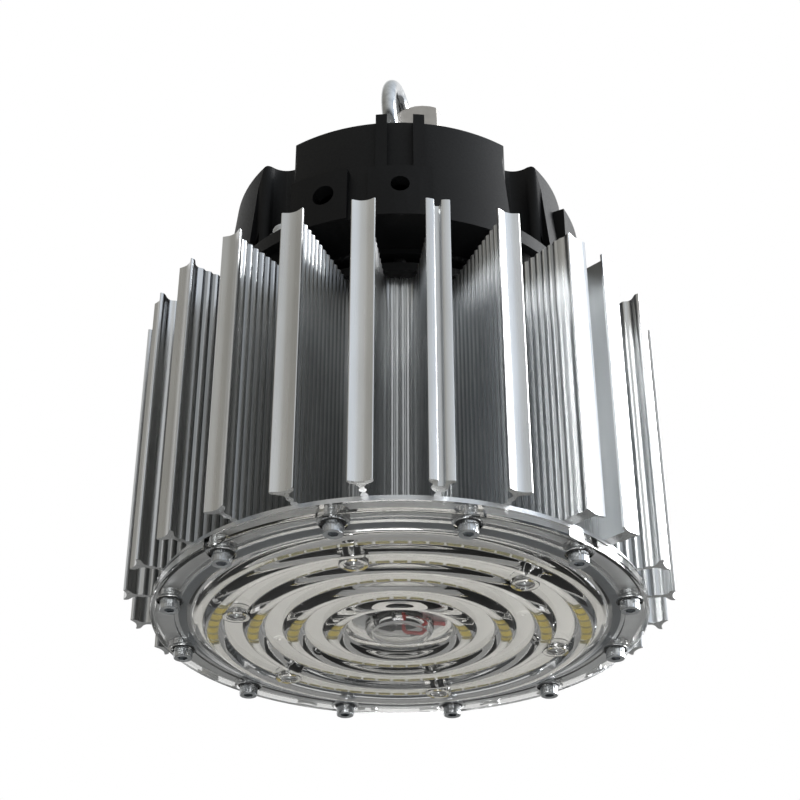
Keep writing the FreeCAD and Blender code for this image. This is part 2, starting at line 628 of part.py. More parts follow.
# ---------------------------------------------------------------------------------------------
# Mounting plate, driver housing and what it holds
# ---------------------------------------------------------------------------------------------
def build_mounting_plate():
    disc = cylinder("mount_disc", "mount_plate_r", "mount_plate_t", "sink_top_z")
    ears = ring_of("mount_ears", cylinder("mount_ear", "mount_ear_r", "mount_plate_t", "sink_top_z"),
                   4, size["lug_pitch_r"], 45.0)
    arm = box("mount_arm", "mount_ear_r * 2", "lug_pitch_r - 20", "mount_plate_t", "sink_top_z")
    bind(arm, "Placement.Base.y", "0 - lug_pitch_r")
    arms = ring_of("mount_arms", arm, 4, 0.0, 45.0)
    blank = fuse("mount_blank", [disc, ears, arms])
    bore = cylinder("mount_bore", "mount_bore_r", "mount_plate_t + 2", "sink_top_z - 1")
    lug_holes = ring_of("mount_lug_holes", cylinder("mount_lug_hole", "lug_screw_r + thread_clearance",
                                                    "mount_plate_t + 2", "sink_top_z - 1"),
                        4, size["lug_pitch_r"], 45.0)
    holes = ring_of("mount_holes", cylinder("mount_hole", "plate_screw_r + thread_clearance",
                                            "mount_plate_t + 2", "sink_top_z - 1"),
                    6, size["board_screw_pitch_r"], 0.0)
    plate = blank
    for index, tool in enumerate((bore, lug_holes, holes)):
        plate = cut("mount_cut_%d" % index, plate, tool)
    node("mounting_plate", plate)
    spacer = washer("spacer", "spacer_r", "lug_screw_r + hole_clearance", "driver_gap", "mount_top_z")
    node("housing_spacers", ring_of("housing_spacers", spacer, 4, size["lug_pitch_r"], 45.0))


def scallop_wire():
    """Plan of a screw recess: a round back, straight sides and rounded mouth corners."""
    r = size["scallop_r"]
    m = size["scallop_mouth_round"]
    centre = size["lug_pitch_r"]
    mouth = size["housing_top_r"] - m
    out = size["housing_bottom_r"] + 8
    diagonal = m * math.sqrt(0.5)

    def at(u, v):
        return FreeCAD.Vector(v, -u, 0)

    edges = [Part.Arc(at(centre, -r), at(centre - r, 0), at(centre, r)).toShape(),
             Part.makeLine(at(centre, r), at(mouth, r)),
             Part.Arc(at(mouth, r), at(mouth + diagonal, r + m - diagonal), at(mouth + m, r + m)).toShape(),
             Part.makeLine(at(mouth + m, r + m), at(out, r + m)),
             Part.makeLine(at(out, r + m), at(out, -r - m)),
             Part.makeLine(at(out, -r - m), at(mouth + m, -r - m)),
             Part.Arc(at(mouth + m, -r - m), at(mouth + diagonal, -r - m + diagonal), at(mouth, -r)).toShape(),
             Part.makeLine(at(mouth, -r), at(centre, -r))]
    return Part.Wire(edges)


def sector(name, start, end, radius, height, base):
    """A wedge of a disc between two angles."""
    first, middle, last = (compass(a)[0] * size[radius] for a in (start, (start + end) / 2, end))
    origin = FreeCAD.Vector(0, 0, 0)
    outline = Part.Wire([Part.makeLine(origin, first), Part.Arc(first, middle, last).toShape(),
                         Part.makeLine(last, origin)])
    return extrude(name, section(name + "_plan", [outline]), height, base)


def radial_hole(name, radius, degrees, height):
    """A round hole through the wall, square to it."""
    outward, _ = compass(degrees)
    hole = doc.addObject("Part::Feature", name)
    start = outward * (size["housing_top_r"] - 14) + FreeCAD.Vector(0, 0, size["housing_z"] + height)
    hole.Shape = Part.makeCylinder(radius, 40, start, outward)
    return hole


def build_driver_housing():
    outer = cone("housing_outer", "housing_bottom_r", "housing_top_r", "housing_h", "housing_z")
    doc.recompute()
    top_edge = [i for i, e in enumerate(outer.Shape.Edges, 1)
                if abs(e.BoundBox.ZMin - size["housing_top_z"]) < 0.01 and e.Closed]
    eased = doc.addObject("Part::Fillet", "housing_eased")
    eased.Base = outer
    eased.Edges = [(i, size["housing_edge_round"], size["housing_edge_round"]) for i in top_edge]

    front = doc.addObject("Part::Feature", "front_panel_block")
    half = size["panel_half_w"]
    low = FreeCAD.Vector(-half, -size["panel_r"], size["housing_z"])
    front.Shape = Part.makeBox(2 * half, 20, size["panel_top_z"], low)
    panel_disc = cone("front_panel_limit", "panel_r", "panel_r - 1.2", "panel_top_z", "housing_z")
    front_panel = common("front_panel", [front, panel_disc])
    ribs = []
    for side in (-1, 1):
        rib = doc.addObject("Part::Feature", "front_rib_%d" % (side + 2))
        corner = FreeCAD.Vector(side * size["front_rib_x"] - size["front_rib_w"] / 2, -size["panel_r"],
                                size["housing_z"])
        rib.Shape = Part.makeBox(size["front_rib_w"], 20, size["housing_h"], corner)
        limit = cone("rib_limit_%d" % (side + 2), "front_rib_r + 2", "front_rib_r", "housing_h", "housing_z")
        ribs.append(common("rib_%d" % (side + 2), [rib, limit]))
    side_panel = sector("side_panel", size["side_panel_start_deg"], size["side_panel_end_deg"], "panel_r",
                        "panel_top_z", "housing_z")
    rear_panel = sector("rear_panel", size["rear_panel_start_deg"], size["rear_panel_end_deg"], "panel_r",
                        "rear_panel_top_z", "housing_z")
    hub = cone("housing_hub", "hub_base_r", "hub_top_r", "hub_h + 1", "housing_top_z - 1")
    solid = fuse("housing_solid", [eased, front_panel, side_panel, rear_panel, hub] + ribs)

    inside = cone("housing_inside", "housing_bottom_r - housing_wall", "housing_top_r - housing_wall",
                  "housing_h - housing_floor_t - housing_wall", "housing_z + housing_floor_t")
    bosses = ring_of("scallop_bosses", cylinder("scallop_boss", "scallop_r + housing_wall",
                                                "housing_h", "housing_z"),
                     4, size["lug_pitch_r"], 45.0)
    cavity = cut("housing_cavity", inside, bosses)
    mouth = cylinder("housing_mouth", "housing_floor_hole_r", "housing_floor_t + 2", "housing_z - 1")
    hub_inside = cone("hub_inside", "hub_base_r - housing_wall", "hub_top_r - housing_wall", "hub_h",
                      "housing_top_z - housing_wall")
    scallop = extrude("scallop", section("scallop_plan", [scallop_wire()]),
                      "housing_h - flange_t + 1", "housing_z + flange_t")
    scallops = ring_of("scallops", scallop, 4, 0.0, 45.0)
    lug_holes = ring_of("housing_lug_holes", cylinder("housing_lug_hole", "lug_screw_r + hole_clearance",
                                                      "flange_t + 4", "housing_z - 2"),
                        4, size["lug_pitch_r"], 45.0)
    base_taps = ring_of("base_taps", cylinder("base_tap", "base_screw_r + thread_clearance",
                                              "housing_floor_t + 2", "housing_z - 1"),
                        size["base_screw_count"], size["base_screw_pitch_r"], 0.0)
    front_hole = radial_hole("front_inlet", size["panel_hole_r"], 0.0, size["panel_hole_z"])
    side_hole = radial_hole("side_inlet", size["side_hole_r"], size["side_hole_deg"], size["side_hole_z"])
    bolt_hole = cylinder("hub_bolt_hole", "lug_bolt_r + thread_clearance", "hub_h + 10", "housing_top_z - 5")
    body = solid
    tools = (cavity, mouth, hub_inside, scallops, lug_holes, base_taps, front_hole, side_hole, bolt_hole)
    for index, tool in enumerate(tools):
        body = cut("housing_cut_%d" % index, body, tool)
    node("driver_housing", body)

    low_head = pan_screw("lug", "lug_head_r", "lug_head_h", "lug_screw_r",
                         "flange_t + driver_gap + mount_plate_t", "housing_z + flange_t", down=True)
    screws = doc.addObject("Part::Feature", "housing_screws")
    doc.recompute()
    copies = []
    for degrees in (45.0, 135.0, 225.0):
        copy = low_head.Shape.copy()
        copy.Placement = FreeCAD.Placement(compass(degrees)[0] * size["lug_pitch_r"], FreeCAD.Rotation())
        copies.append(copy)
    screws.Shape = Part.makeCompound(copies)
    node("housing_screws", screws)


def build_earth_stud():
    outward, _ = compass(size["stud_deg"])
    base = "housing_z + flange_t"
    hexagonal = hexagon("stud_hex", "stud_nut_af", "stud_hex_h", base)
    dome = doc.addObject("Part::Sphere", "stud_dome")
    bind(dome, "Radius", "stud_dome_r")
    bind(dome, "Placement.Base.z", base + " + stud_hex_h + stud_dome_h - stud_dome_r")
    neck = cylinder("stud_neck", "stud_dome_r", "stud_dome_h - stud_dome_r + 0.01", base + " + stud_hex_h")
    upper = cylinder("stud_trim", "stud_dome_r + 1", "stud_dome_h + 1", base + " + stud_hex_h - 0.01")
    cap = fuse("stud_cap", [neck, common("stud_dome_top", [dome, upper])])
    shank = cylinder("stud_shank", "lug_screw_r", "flange_t + driver_gap + mount_plate_t",
                     "housing_z - driver_gap - mount_plate_t")
    whole = fuse("stud_whole", [hexagonal, cap, shank])
    node("earth_stud", ring_of("earth_stud", whole, 1, size["lug_pitch_r"], size["stud_deg"]))


def build_housing_base():
    disc = cylinder("base_disc", "base_r", "base_t", "base_bottom_z")
    neck = cylinder("base_neck", "neck_r", "base_bottom_z - mount_top_z + 0.5", "mount_top_z")
    bore = cylinder("base_bore", "neck_r - neck_wall", "base_bottom_z - mount_top_z", "mount_top_z - 0.01")
    wires = cylinder("base_wire_hole", "wire_bore_r", "base_t + 4", "base_bottom_z - 2")
    taps = ring_of("base_holes", cylinder("base_hole", "base_screw_r + hole_clearance", "base_t + 2",
                                          "base_bottom_z - 1"),
                   size["base_screw_count"], size["base_screw_pitch_r"], 0.0)
    body = fuse("base_blank", [disc, neck])
    for index, tool in enumerate((bore, wires, taps)):
        body = cut("base_cut_%d" % index, body, tool)
    node("housing_base", body)
    node("housing_gasket", washer("housing_gasket", "housing_floor_hole_r + base_gasket_w * 0.5 + 1",
                                  "housing_floor_hole_r - base_gasket_w * 0.5 + 1", "base_gasket_t",
                                  "base_top_z"))
    screw = pan_screw("base", "base_screw_head_r", "base_screw_head_h", "base_screw_r",
                      "base_t + base_gasket_t + housing_floor_t", "base_bottom_z")
    node("base_screws", ring_of("base_screws", screw, size["base_screw_count"],
                                size["base_screw_pitch_r"], 0.0))
    node("driver_module", box("driver_module", "driver_length", "driver_width", "driver_height",
                              "base_top_z"))
    node("terminal_block", box("terminal_block", "terminal_length", "terminal_width", "terminal_height",
                               "base_top_z + driver_height"))


# ---------------------------------------------------------------------------------------------
# Hanging lug, ring and their fixings
# ---------------------------------------------------------------------------------------------
def lug_wire():
    """Outline of the cast lug, a rounded shoulder falling to the left."""
    left = size["lug_left_x"]
    right = size["lug_right_x"]
    top = size["lug_top_z"]
    foot = size["hub_top_z"] + size["collar_h"] - 0.5
    neck = size["collar_r"] - 3.0
    apex = right - 12.0

    def at(x, z):
        return FreeCAD.Vector(x, 0, z)

    start = at(left, top - 15.5)
    shoulder = at(apex - 8, top - 2.4)
    corner = at(right - 1.5, top - 2.4)
    return Part.Wire([Part.makeLine(at(-neck, foot), at(left, foot + 12)),
                      Part.makeLine(at(left, foot + 12), start),
                      Part.Arc(start, at(left + 4.6, top - 9.6), shoulder).toShape(),
                      Part.Arc(shoulder, at(apex + 1, top), corner).toShape(),
                      Part.makeLine(corner, at(right, top - 4.5)),
                      Part.makeLine(at(right, top - 4.5), at(right, foot + 12)),
                      Part.makeLine(at(right, foot + 12), at(neck, foot)),
                      Part.makeLine(at(neck, foot), at(-neck, foot))])


def build_hanger():
    plate_profile = section("lug_plan", [lug_wire()])
    plate = doc.addObject("Part::Extrusion", "lug_plate")
    plate.Base = plate_profile
    plate.DirMode = "Custom"
    plate.Dir = FreeCAD.Vector(0, 1, 0)
    bind(plate, "LengthFwd", "lug_t")
    bind(plate, "Placement.Base.y", "0 - lug_t / 2")
    plate.Solid = True
    eye = doc.addObject("Part::Cylinder", "lug_eye")
    bind(eye, "Radius", "eye_r")
    bind(eye, "Height", "lug_t + 4")
    eye.Placement.Rotation = FreeCAD.Rotation(FreeCAD.Vector(1, 0, 0), -90)
    bind(eye, "Placement.Base.x", "eye_x")
    bind(eye, "Placement.Base.y", "0 - lug_t / 2 - 2")
    ring_z = size["lug_top_z"] - 12.6
    bar_z = ring_z - size["ring_r"]
    eye.Placement.Base.z = bar_z + size["ring_bar_r"] + size["eye_play"] - size["eye_r"]
    collar = cylinder("lug_collar", "collar_r", "collar_h", "hub_top_z")
    bolt = cylinder("lug_bolt", "lug_bolt_r", "housing_wall + hanger_washer_t + hanger_nut_h + 3",
                    "hub_top_z - housing_wall - hanger_washer_t - hanger_nut_h - 3")
    bevel = doc.addObject("Part::Feature", "lug_bevel")
    b = size["lug_edge_bevel"]
    right = size["lug_right_x"]
    front = -size["lug_t"] / 2
    bevel_points = [FreeCAD.Vector(right - b, front - 0.01, 0), FreeCAD.Vector(right + 0.01, front - 0.01, 0),
                    FreeCAD.Vector(right + 0.01, front + b, 0)]
    wedge = Part.Face(polygon(bevel_points)).extrude(FreeCAD.Vector(0, 0, size["lug_top_z"]))
    bevel.Shape = wedge
    body = cut("lug_eyed", cut("lug_bevelled", plate, bevel), eye)
    node("hanging_lug", fuse("hanging_lug", [body, collar, bolt]))

    ring = doc.addObject("Part::Torus", "hanging_ring")
    bind(ring, "Radius1", "ring_r")
    bind(ring, "Radius2", "ring_bar_r")
    upright = FreeCAD.Rotation(FreeCAD.Vector(0, 1, 0), 90)
    turn = FreeCAD.Rotation(FreeCAD.Vector(0, 0, 1), -size["ring_turn_deg"])
    ring.Placement = FreeCAD.Placement(FreeCAD.Vector(size["eye_x"], 0, ring_z), turn.multiply(upright))
    node("hanging_ring", ring)
    below = "hub_top_z - housing_wall - hanger_washer_t"
    node("hanger_washer", washer("hanger", "hanger_washer_r", "lug_bolt_r + thread_clearance",
                                 "hanger_washer_t", below))
    node("hanger_nut", hex_nut("hanger", "hanger_nut_af", "hanger_nut_h",
                               "lug_bolt_r + thread_clearance", below + " - hanger_nut_h"))


# ---------------------------------------------------------------------------------------------
# Wiring seen through the dome
# ---------------------------------------------------------------------------------------------
def lead(name, side, degrees):
    """One lead: down the bore, a bend inside the dome, and out to the edge of the board."""
    outward, along = compass(degrees)
    across = along * (size["wire_gap"] * side * 0.5)
    start, low = size["wire_start_r"], size["wire_bend_z"]
    turn, upper = size["wire_bend_r"], size["wire_edge_r"]
    out = size["dome_r"] - size["lens_core_wall"] - 1.7
    pad = size["plate_z"] - size["wire_r"] - 0.1
    half, full = math.sqrt(0.5), 1.0

    def at(radius, z):
        return outward * radius + across + FreeCAD.Vector(0, 0, z)

    def bend(radius, z, reach, sides, middle):
        """Quarter circle about a centre; each side is a pair of signs."""
        ends = [at(radius + reach * u, z + reach * w) for u, w in sides]
        between = at(radius + reach * middle[0], z + reach * middle[1])
        return Part.Arc(ends[0], between, ends[1]).toShape()

    edges = [Part.makeLine(at(start, size["fin_z"] + 20), at(start, low + turn)),
             bend(start + turn, low + turn, turn, ((-full, 0), (0, -full)), (-half, -half)),
             Part.makeLine(at(start + turn, low), at(out - turn, low)),
             bend(out - turn, low + turn, turn, ((0, -full), (full, 0)), (half, -half)),
             Part.makeLine(at(out, low + turn), at(out, pad - upper)),
             bend(out + upper, pad - upper, upper, ((-full, 0), (0, full)), (-half, half)),
             Part.makeLine(at(out + upper, pad), at(size["board_hole_r"] - 0.4, pad))]
    spine = Part.Wire(edges)
    profile = Part.Wire(Part.makeCircle(size["wire_r"], at(start, size["fin_z"] + 20)))
    obj = doc.addObject("Part::Feature", name)
    obj.Shape = spine.makePipeShell([profile], True, False)
    return obj


def build_wiring():
    collar = cylinder("grommet_collar", "grommet_hole_r - 0.2", "base_plate_t", "plate_z")
    flange = cylinder("grommet_flange", "grommet_flange_r", "grommet_t", "plate_z - grommet_t")
    bore = cylinder("grommet_bore", "grommet_bore_r", "base_plate_t + grommet_t + 2",
                    "plate_z - grommet_t - 1")
    node("wire_grommet", cut("wire_grommet", fuse("grommet_blank", [collar, flange]), bore))
    node("lead_red", lead("lead_red", 1, 100.0))
    node("lead_black", lead("lead_black", -1, -60.0))


build_heat_sink()
build_lens()
build_lens_fasteners()
build_light_engine()
build_mounting_plate()
build_driver_housing()
build_earth_stud()
build_housing_base()
build_hanger()
build_wiring()
doc.recompute()

# ---------------------------------------------------------------------------------------------
# Check and export
# ---------------------------------------------------------------------------------------------
os.makedirs("parts", exist_ok=True)
for obj in doc.Objects:
    if "Invalid" in obj.State or "Error" in obj.State:
        raise RuntimeError("feature failed: " + obj.Name)
for name, obj in nodes.items():
    if obj.Shape.isNull() or not obj.Shape.isValid():
        raise RuntimeError("bad shape: " + name)
    obj.Shape.exportStep("parts/%s.step" % name)
    box_ = obj.Shape.BoundBox
    print("%-18s solids %3d  volume %10.1f mm3  z %.2f..%.2f"
          % (name, len(obj.Shape.Solids), obj.Shape.Volume, box_.ZMin, box_.ZMax))
print(len(nodes), "nodes")
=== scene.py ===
# %% [markdown]
# # A high bay light, dressed from its CAD frame
# The lamp hangs from a ring, so it is seen from below. A round aluminium extrusion carries the
# heat away, a clear moulded lens covers four rings of LEDs, and a black die-cast housing above
# holds the driver. The CAD model gives every piece its place. Here each piece gets its finer
# shape and its finish. Lengths are written in millimetres and multiplied by MM, because Blender
# counts in metres, and angles are written in degrees, counted from the front.

# %% Load the frame
import bpy
import bmesh
import math
from mathutils import Matrix, Vector
from mathutils.geometry import delaunay_2d_cdt


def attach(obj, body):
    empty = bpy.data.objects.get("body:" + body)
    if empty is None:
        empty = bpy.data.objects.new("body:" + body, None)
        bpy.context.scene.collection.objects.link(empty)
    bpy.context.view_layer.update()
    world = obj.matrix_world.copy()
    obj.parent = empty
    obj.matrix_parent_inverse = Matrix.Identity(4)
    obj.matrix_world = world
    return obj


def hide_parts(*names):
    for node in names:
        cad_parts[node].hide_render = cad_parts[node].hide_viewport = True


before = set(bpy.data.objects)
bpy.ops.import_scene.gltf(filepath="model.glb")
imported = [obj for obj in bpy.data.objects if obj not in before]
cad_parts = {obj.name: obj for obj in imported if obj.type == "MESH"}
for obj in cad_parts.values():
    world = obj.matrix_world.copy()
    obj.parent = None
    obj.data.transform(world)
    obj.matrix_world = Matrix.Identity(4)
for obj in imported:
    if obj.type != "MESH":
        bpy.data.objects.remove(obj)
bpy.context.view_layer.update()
MM = 0.001
print("CAD nodes:", len(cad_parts))

# %% [markdown]
# ## Helpers for materials
# Colours are written as the hex values that paint charts use, which are sRGB. The shader works in
# linear light, so one function converts them. Another adds a node with its settings and links. The
# patterns are noise on Object coordinates, so they sit in the piece and stay put from every side.


# %% Colour and node helpers
def linear(code):
    """Hex sRGB colour as linear RGBA."""
    parts = [int(code[i:i + 2], 16) / 255 for i in (1, 3, 5)]
    return [p / 12.92 if p <= 0.04045 else ((p + 0.055) / 1.055) ** 2.4 for p in parts] + [1.0]


def add_node(tree, kind, settings=None, **links):
    """Add a node; settings are its properties, links are input values or output sockets."""
    node = tree.nodes.new(kind)
    for name, value in (settings or {}).items():
        setattr(node, name, value)
    for name, value in links.items():
        key = int(name[1:]) if name[0] == "i" and name[1:].isdigit() else name.replace("_", " ")
        if isinstance(value, bpy.types.NodeSocket):
            tree.links.new(value, node.inputs[key])
        else:
            node.inputs[key].default_value = value
    return node


def new_material(name):
    """Empty material with a surface output; returns it with its tree and output."""
    material = bpy.data.materials.new(name)
    material.use_nodes = True
    material.node_tree.nodes.clear()
    output = add_node(material.node_tree, "ShaderNodeOutputMaterial")
    return material, material.node_tree, output


def finish_surface(tree, output, shader):
    """Plug a shader into the material's surface."""
    tree.links.new(shader.outputs[0], output.inputs["Surface"])


def pattern(tree, size_mm, stretch=(1, 1, 1), detail=3.0):
    """Noise whose grains are about size_mm across; stretch divides the grain along each axis."""
    place = add_node(tree, "ShaderNodeTexCoord").outputs["Object"]
    scaled = add_node(tree, "ShaderNodeMapping", Vector=place, Scale=stretch)
    return add_node(tree, "ShaderNodeTexNoise", Vector=scaled.outputs[0], Scale=1 / (size_mm * MM),
                    Detail=detail).outputs[0]


def two_tones(tree, spots, first, second):
    """Blend of two hex colours by a pattern."""
    ramp = add_node(tree, "ShaderNodeValToRGB", Fac=spots)
    ramp.color_ramp.elements[0].position = 0.32
    ramp.color_ramp.elements[0].color = linear(first)
    ramp.color_ramp.elements[1].position = 0.68
    ramp.color_ramp.elements[1].color = linear(second)
    return ramp.outputs[0]


def texture(tree, grain, rough, depth_mm, strength):
    """One pattern drives both the roughness, between two values, and the relief of a surface."""
    gloss = add_node(tree, "ShaderNodeMapRange", i0=grain, i1=0.3, i2=0.7, i3=rough[0], i4=rough[1])
    relief = add_node(tree, "ShaderNodeBump", Height=grain, Distance=depth_mm * MM, Strength=strength)
    return {"Roughness": gloss.outputs[0], "Normal": relief.outputs[0]}


print("mid grey #808080 is", round(linear("#808080")[0], 3), "in linear light")

# %% [markdown]
# ## Metals
# An extruded profile carries fine die lines along its length, because the metal is pressed past the
# steel die. Noise that is squeezed across and stretched along Z gives those lines, both as a bump
# and as bands of roughness. They are drawn coarser than they are, or they wouldn't show. Mill finish
# aluminium reflects about two thirds of the light. A darker, duller mix of the same metal is painted
# shade in the grooves between the ribs: it stands in for the shade that falls in the deep grooves, so
# that the ribs can be told apart from a distance. It is a choice for the look.


# %% Extruded and rolled aluminium
def extruded_aluminium(name, dark, light, rough):
    """Metal from the die: faint lines along the length and a soft shine."""
    material, tree, output = new_material(name)
    lines = pattern(tree, 0.6, stretch=(1, 1, 0.012), detail=2.0)
    patches = pattern(tree, 14.0, stretch=(1, 1, 0.2))
    shader = add_node(tree, "ShaderNodeBsdfPrincipled", Metallic=1.0,
                      Base_Color=two_tones(tree, patches, dark, light),
                      **texture(tree, lines, rough, 0.001, 0.15))
    finish_surface(tree, output, shader)
    return material


def rolled_aluminium():
    """Sheet from the rolling mill: faint lines one way and a softer shine."""
    material, tree, output = new_material("rolled_aluminium_sheet")
    lines = pattern(tree, 0.4, stretch=(0.03, 1, 1))
    shader = add_node(tree, "ShaderNodeBsdfPrincipled", Metallic=1.0,
                      Base_Color=two_tones(tree, lines, "#CFD1D3", "#E0E1E2"),
                      **texture(tree, lines, (0.36, 0.48), 0.004, 0.3))
    finish_surface(tree, output, shader)
    return material


ALUMINIUM = extruded_aluminium("extruded_aluminium_mill_finish", "#CDCECE", "#DEDFDF", (0.26, 0.33))
# Painted shade: this darker, duller metal stands in for the shade that falls in the grooves between the
# ribs.
GROOVE_SHADE_METAL = extruded_aluminium("extruded_aluminium_painted_groove_shade", "#A2A4A5", "#B2B4B5", (0.34, 0.42))
SHEET_METAL = rolled_aluminium()
print("aluminium:", [m.name for m in (ALUMINIUM, GROOVE_SHADE_METAL, SHEET_METAL)])


# %% Zinc, cast and plated
def cast_zinc():
    """Cast and blasted, then plated: a warm grey with a fine grain."""
    material, tree, output = new_material("cast_zinc_blasted")
    grain = pattern(tree, 0.5, detail=5.0)
    clouds = pattern(tree, 9.0)
    shader = add_node(tree, "ShaderNodeBsdfPrincipled", Metallic=0.85,
                      Base_Color=two_tones(tree, clouds, "#A9A49E", "#BCB8B2"),
                      **texture(tree, grain, (0.34, 0.5), 0.05, 0.35))
    finish_surface(tree, output, shader)
    return material


def zinc_plated_steel():
    """Bright zinc over steel: smooth, faintly blue, with slight waves from the plating bath."""
    material, tree, output = new_material("zinc_plated_steel")
    waves = pattern(tree, 2.5, detail=2.0)
    shader = add_node(tree, "ShaderNodeBsdfPrincipled", Metallic=1.0,
                      Base_Color=two_tones(tree, waves, "#B9BCBF", "#CFD2D4"),
                      **texture(tree, waves, (0.14, 0.24), 0.02, 0.3))
    finish_surface(tree, output, shader)
    return material


ZINC_CAST = cast_zinc()
ZINC_PLATE = zinc_plated_steel()
print("zinc:", [m.name for m in (ZINC_CAST, ZINC_PLATE)])

# %% [markdown]
# ## Clear polycarbonate, black powder coat and the small materials
# Moulded polycarbonate bends light strongly, with an IOR of 1.585, and its polished mould leaves a
# surface that is smooth but a little wavy. Shadow rays pass straight through it, so that the board
# behind is lit without caustics. The powder coat on the die casting is a matt black with a fine
# orange peel. The LEDs are phosphor under silicone, which looks yellow when they are off. The lens
# sits on a grey silicone seal, and the screws' washers are black rubber.


# %% Clear polycarbonate
def clear_polycarbonate():
    """Clear moulded plastic with slow waves from the flow, open to shadow rays."""
    material, tree, output = new_material("clear_polycarbonate_moulded")
    flow = pattern(tree, 18.0, detail=1.0)
    shader = add_node(tree, "ShaderNodeBsdfPrincipled", Base_Color=linear("#F8F8F7"),
                      Transmission_Weight=1.0, IOR=1.585,
                      **texture(tree, flow, (0.0, 0.03), 0.08, 0.25))
    rays = add_node(tree, "ShaderNodeLightPath")
    clear = add_node(tree, "ShaderNodeBsdfTransparent", Color=linear("#F4F4F3"))
    through = add_node(tree, "ShaderNodeMixShader", i0=rays.outputs["Is Shadow Ray"],
                       i1=shader.outputs[0], i2=clear.outputs[0])
    finish_surface(tree, output, through)
    return material


LENS_CLEAR = clear_polycarbonate()
print("lens material:", LENS_CLEAR.name)


# %% Coatings, plastics and rubbers
def powder_coat(name, dark, light, rough):
    """Matt baked powder; its fine texture scatters the shine, so the specular level is low."""
    material, tree, output = new_material(name)
    peel = pattern(tree, 0.9, detail=4.0)
    clouds = pattern(tree, 22.0)
    shader = add_node(tree, "ShaderNodeBsdfPrincipled", IOR=1.45, Specular_IOR_Level=0.24,
                      Base_Color=two_tones(tree, clouds, dark, light),
                      **texture(tree, peel, rough, 0.06, 0.5))
    finish_surface(tree, output, shader)
    return material


def moulded(name, first, second, rough, grain_mm, depth_mm=0.02):
    """Plain moulded plastic or rubber with a fine surface grain."""
    material, tree, output = new_material(name)
    grain = pattern(tree, grain_mm)
    shader = add_node(tree, "ShaderNodeBsdfPrincipled",
                      Base_Color=two_tones(tree, grain, first, second),
                      **texture(tree, grain, rough, depth_mm, 0.4))
    finish_surface(tree, output, shader)
    return material


BLACK_COAT = powder_coat("black_powder_coat_on_casting", "#050506", "#090A0B", (0.5, 0.62))
BLACK_PLATE = powder_coat("black_powder_coat_on_plate", "#050505", "#0A0A0A", (0.6, 0.72))
BOARD_MASK = moulded("white_solder_mask", "#D6D4D0", "#DAD8D4", (0.34, 0.4), 24.0, 0.004)
PHOSPHOR = moulded("led_phosphor_in_silicone", "#A08C28", "#B09C38", (0.3, 0.4), 0.8)
LED_CASE = moulded("led_case_tan_plastic", "#6E6840", "#7C764C", (0.3, 0.42), 0.8)
RUBBER = moulded("black_seal_rubber", "#0F0F0F", "#191919", (0.6, 0.78), 0.7, 0.04)
GREY_SEAL = moulded("grey_silicone_seal", "#777B7F", "#84888C", (0.5, 0.65), 0.9, 0.03)
RED_SLEEVE = moulded("red_silicone_sleeve", "#6A0B07", "#7E110B", (0.32, 0.45), 1.0)
BLACK_SLEEVE = moulded("black_silicone_sleeve", "#0D0D0D", "#171717", (0.32, 0.45), 1.0)
TERMINAL = moulded("terminal_block_nylon", "#CFCFC4", "#DDDDD3", (0.4, 0.5), 1.4)
# The driver's drawn case is painted, so it is finished as a coat is.
DRIVER_CASE = powder_coat("driver_case_drawn_aluminium", "#8B8E90", "#9A9D9F", (0.35, 0.5))
print("coats and mouldings:", BLACK_COAT.name, PHOSPHOR.name, GREY_SEAL.name, "and others")

# %% [markdown]
# ## Helpers for shapes
# Most CAD nodes only need their facets smoothed. Their mesh is loose triangles, so a copy is
# merged first, then its edges under 30 degrees are shaded as one smooth surface. The copy stands
# for the node. Round pieces are a half section that is turned about the lamp's axis.


# %% Shape helpers
def shade(obj, degrees=30.0):
    """Smooth shading that keeps the edges sharper than an angle; large faces lead the normals, so
    that flats beside curves stay flat."""
    mesh = obj.data
    mesh.polygons.foreach_set("use_smooth", [True] * len(mesh.polygons))
    mesh.set_sharp_from_angle(angle=math.radians(degrees))
    even = obj.modifiers.new("even_shading", "WEIGHTED_NORMAL")
    even.keep_sharp = True
    even.weight = 100
    return obj


def new_piece(name, mesh, material, slot, *nodes, smooth=30.0):
    """Link a mesh at the origin, give it its finish, and let it stand for CAD nodes."""
    obj = bpy.data.objects.new(name, mesh)
    bpy.context.scene.collection.objects.link(obj)
    if material is not None:
        mesh.materials.clear()
        mesh.materials.append(material)
    if smooth:
        shade(obj, smooth)
    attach(obj, "root")
    if nodes:
        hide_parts(*nodes)
    return obj


def merged_copy(node):
    """The CAD node's mesh with its loose triangles welded."""
    gap = 0.004 * MM
    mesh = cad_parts[node].data.copy()
    work = bmesh.new()
    work.from_mesh(mesh)
    bmesh.ops.remove_doubles(work, verts=work.verts, dist=gap)
    bmesh.ops.dissolve_degenerate(work, edges=work.edges, dist=gap)
    for attribute in ("custom_normal", "sharp_edge", "sharp_face"):
        if attribute in mesh.attributes:
            mesh.attributes.remove(mesh.attributes[attribute])
    work.to_mesh(mesh)
    work.free()
    return mesh


def dressed(node, material, slot, smooth=30.0):
    """A CAD node with welded facets and its own finish."""
    return new_piece(node + "_finished", merged_copy(node), material, slot, node, smooth=smooth)


# %% Points and round shapes
def polar(degrees, radius, z=0.0, along=0.0):
    """Point in millimetres at an angle counted from the front towards +X; along shifts it
    sideways."""
    turn = math.radians(degrees)
    x = math.sin(turn) * radius + math.cos(turn) * along
    y = -math.cos(turn) * radius + math.sin(turn) * along
    return Vector((x, y, z))


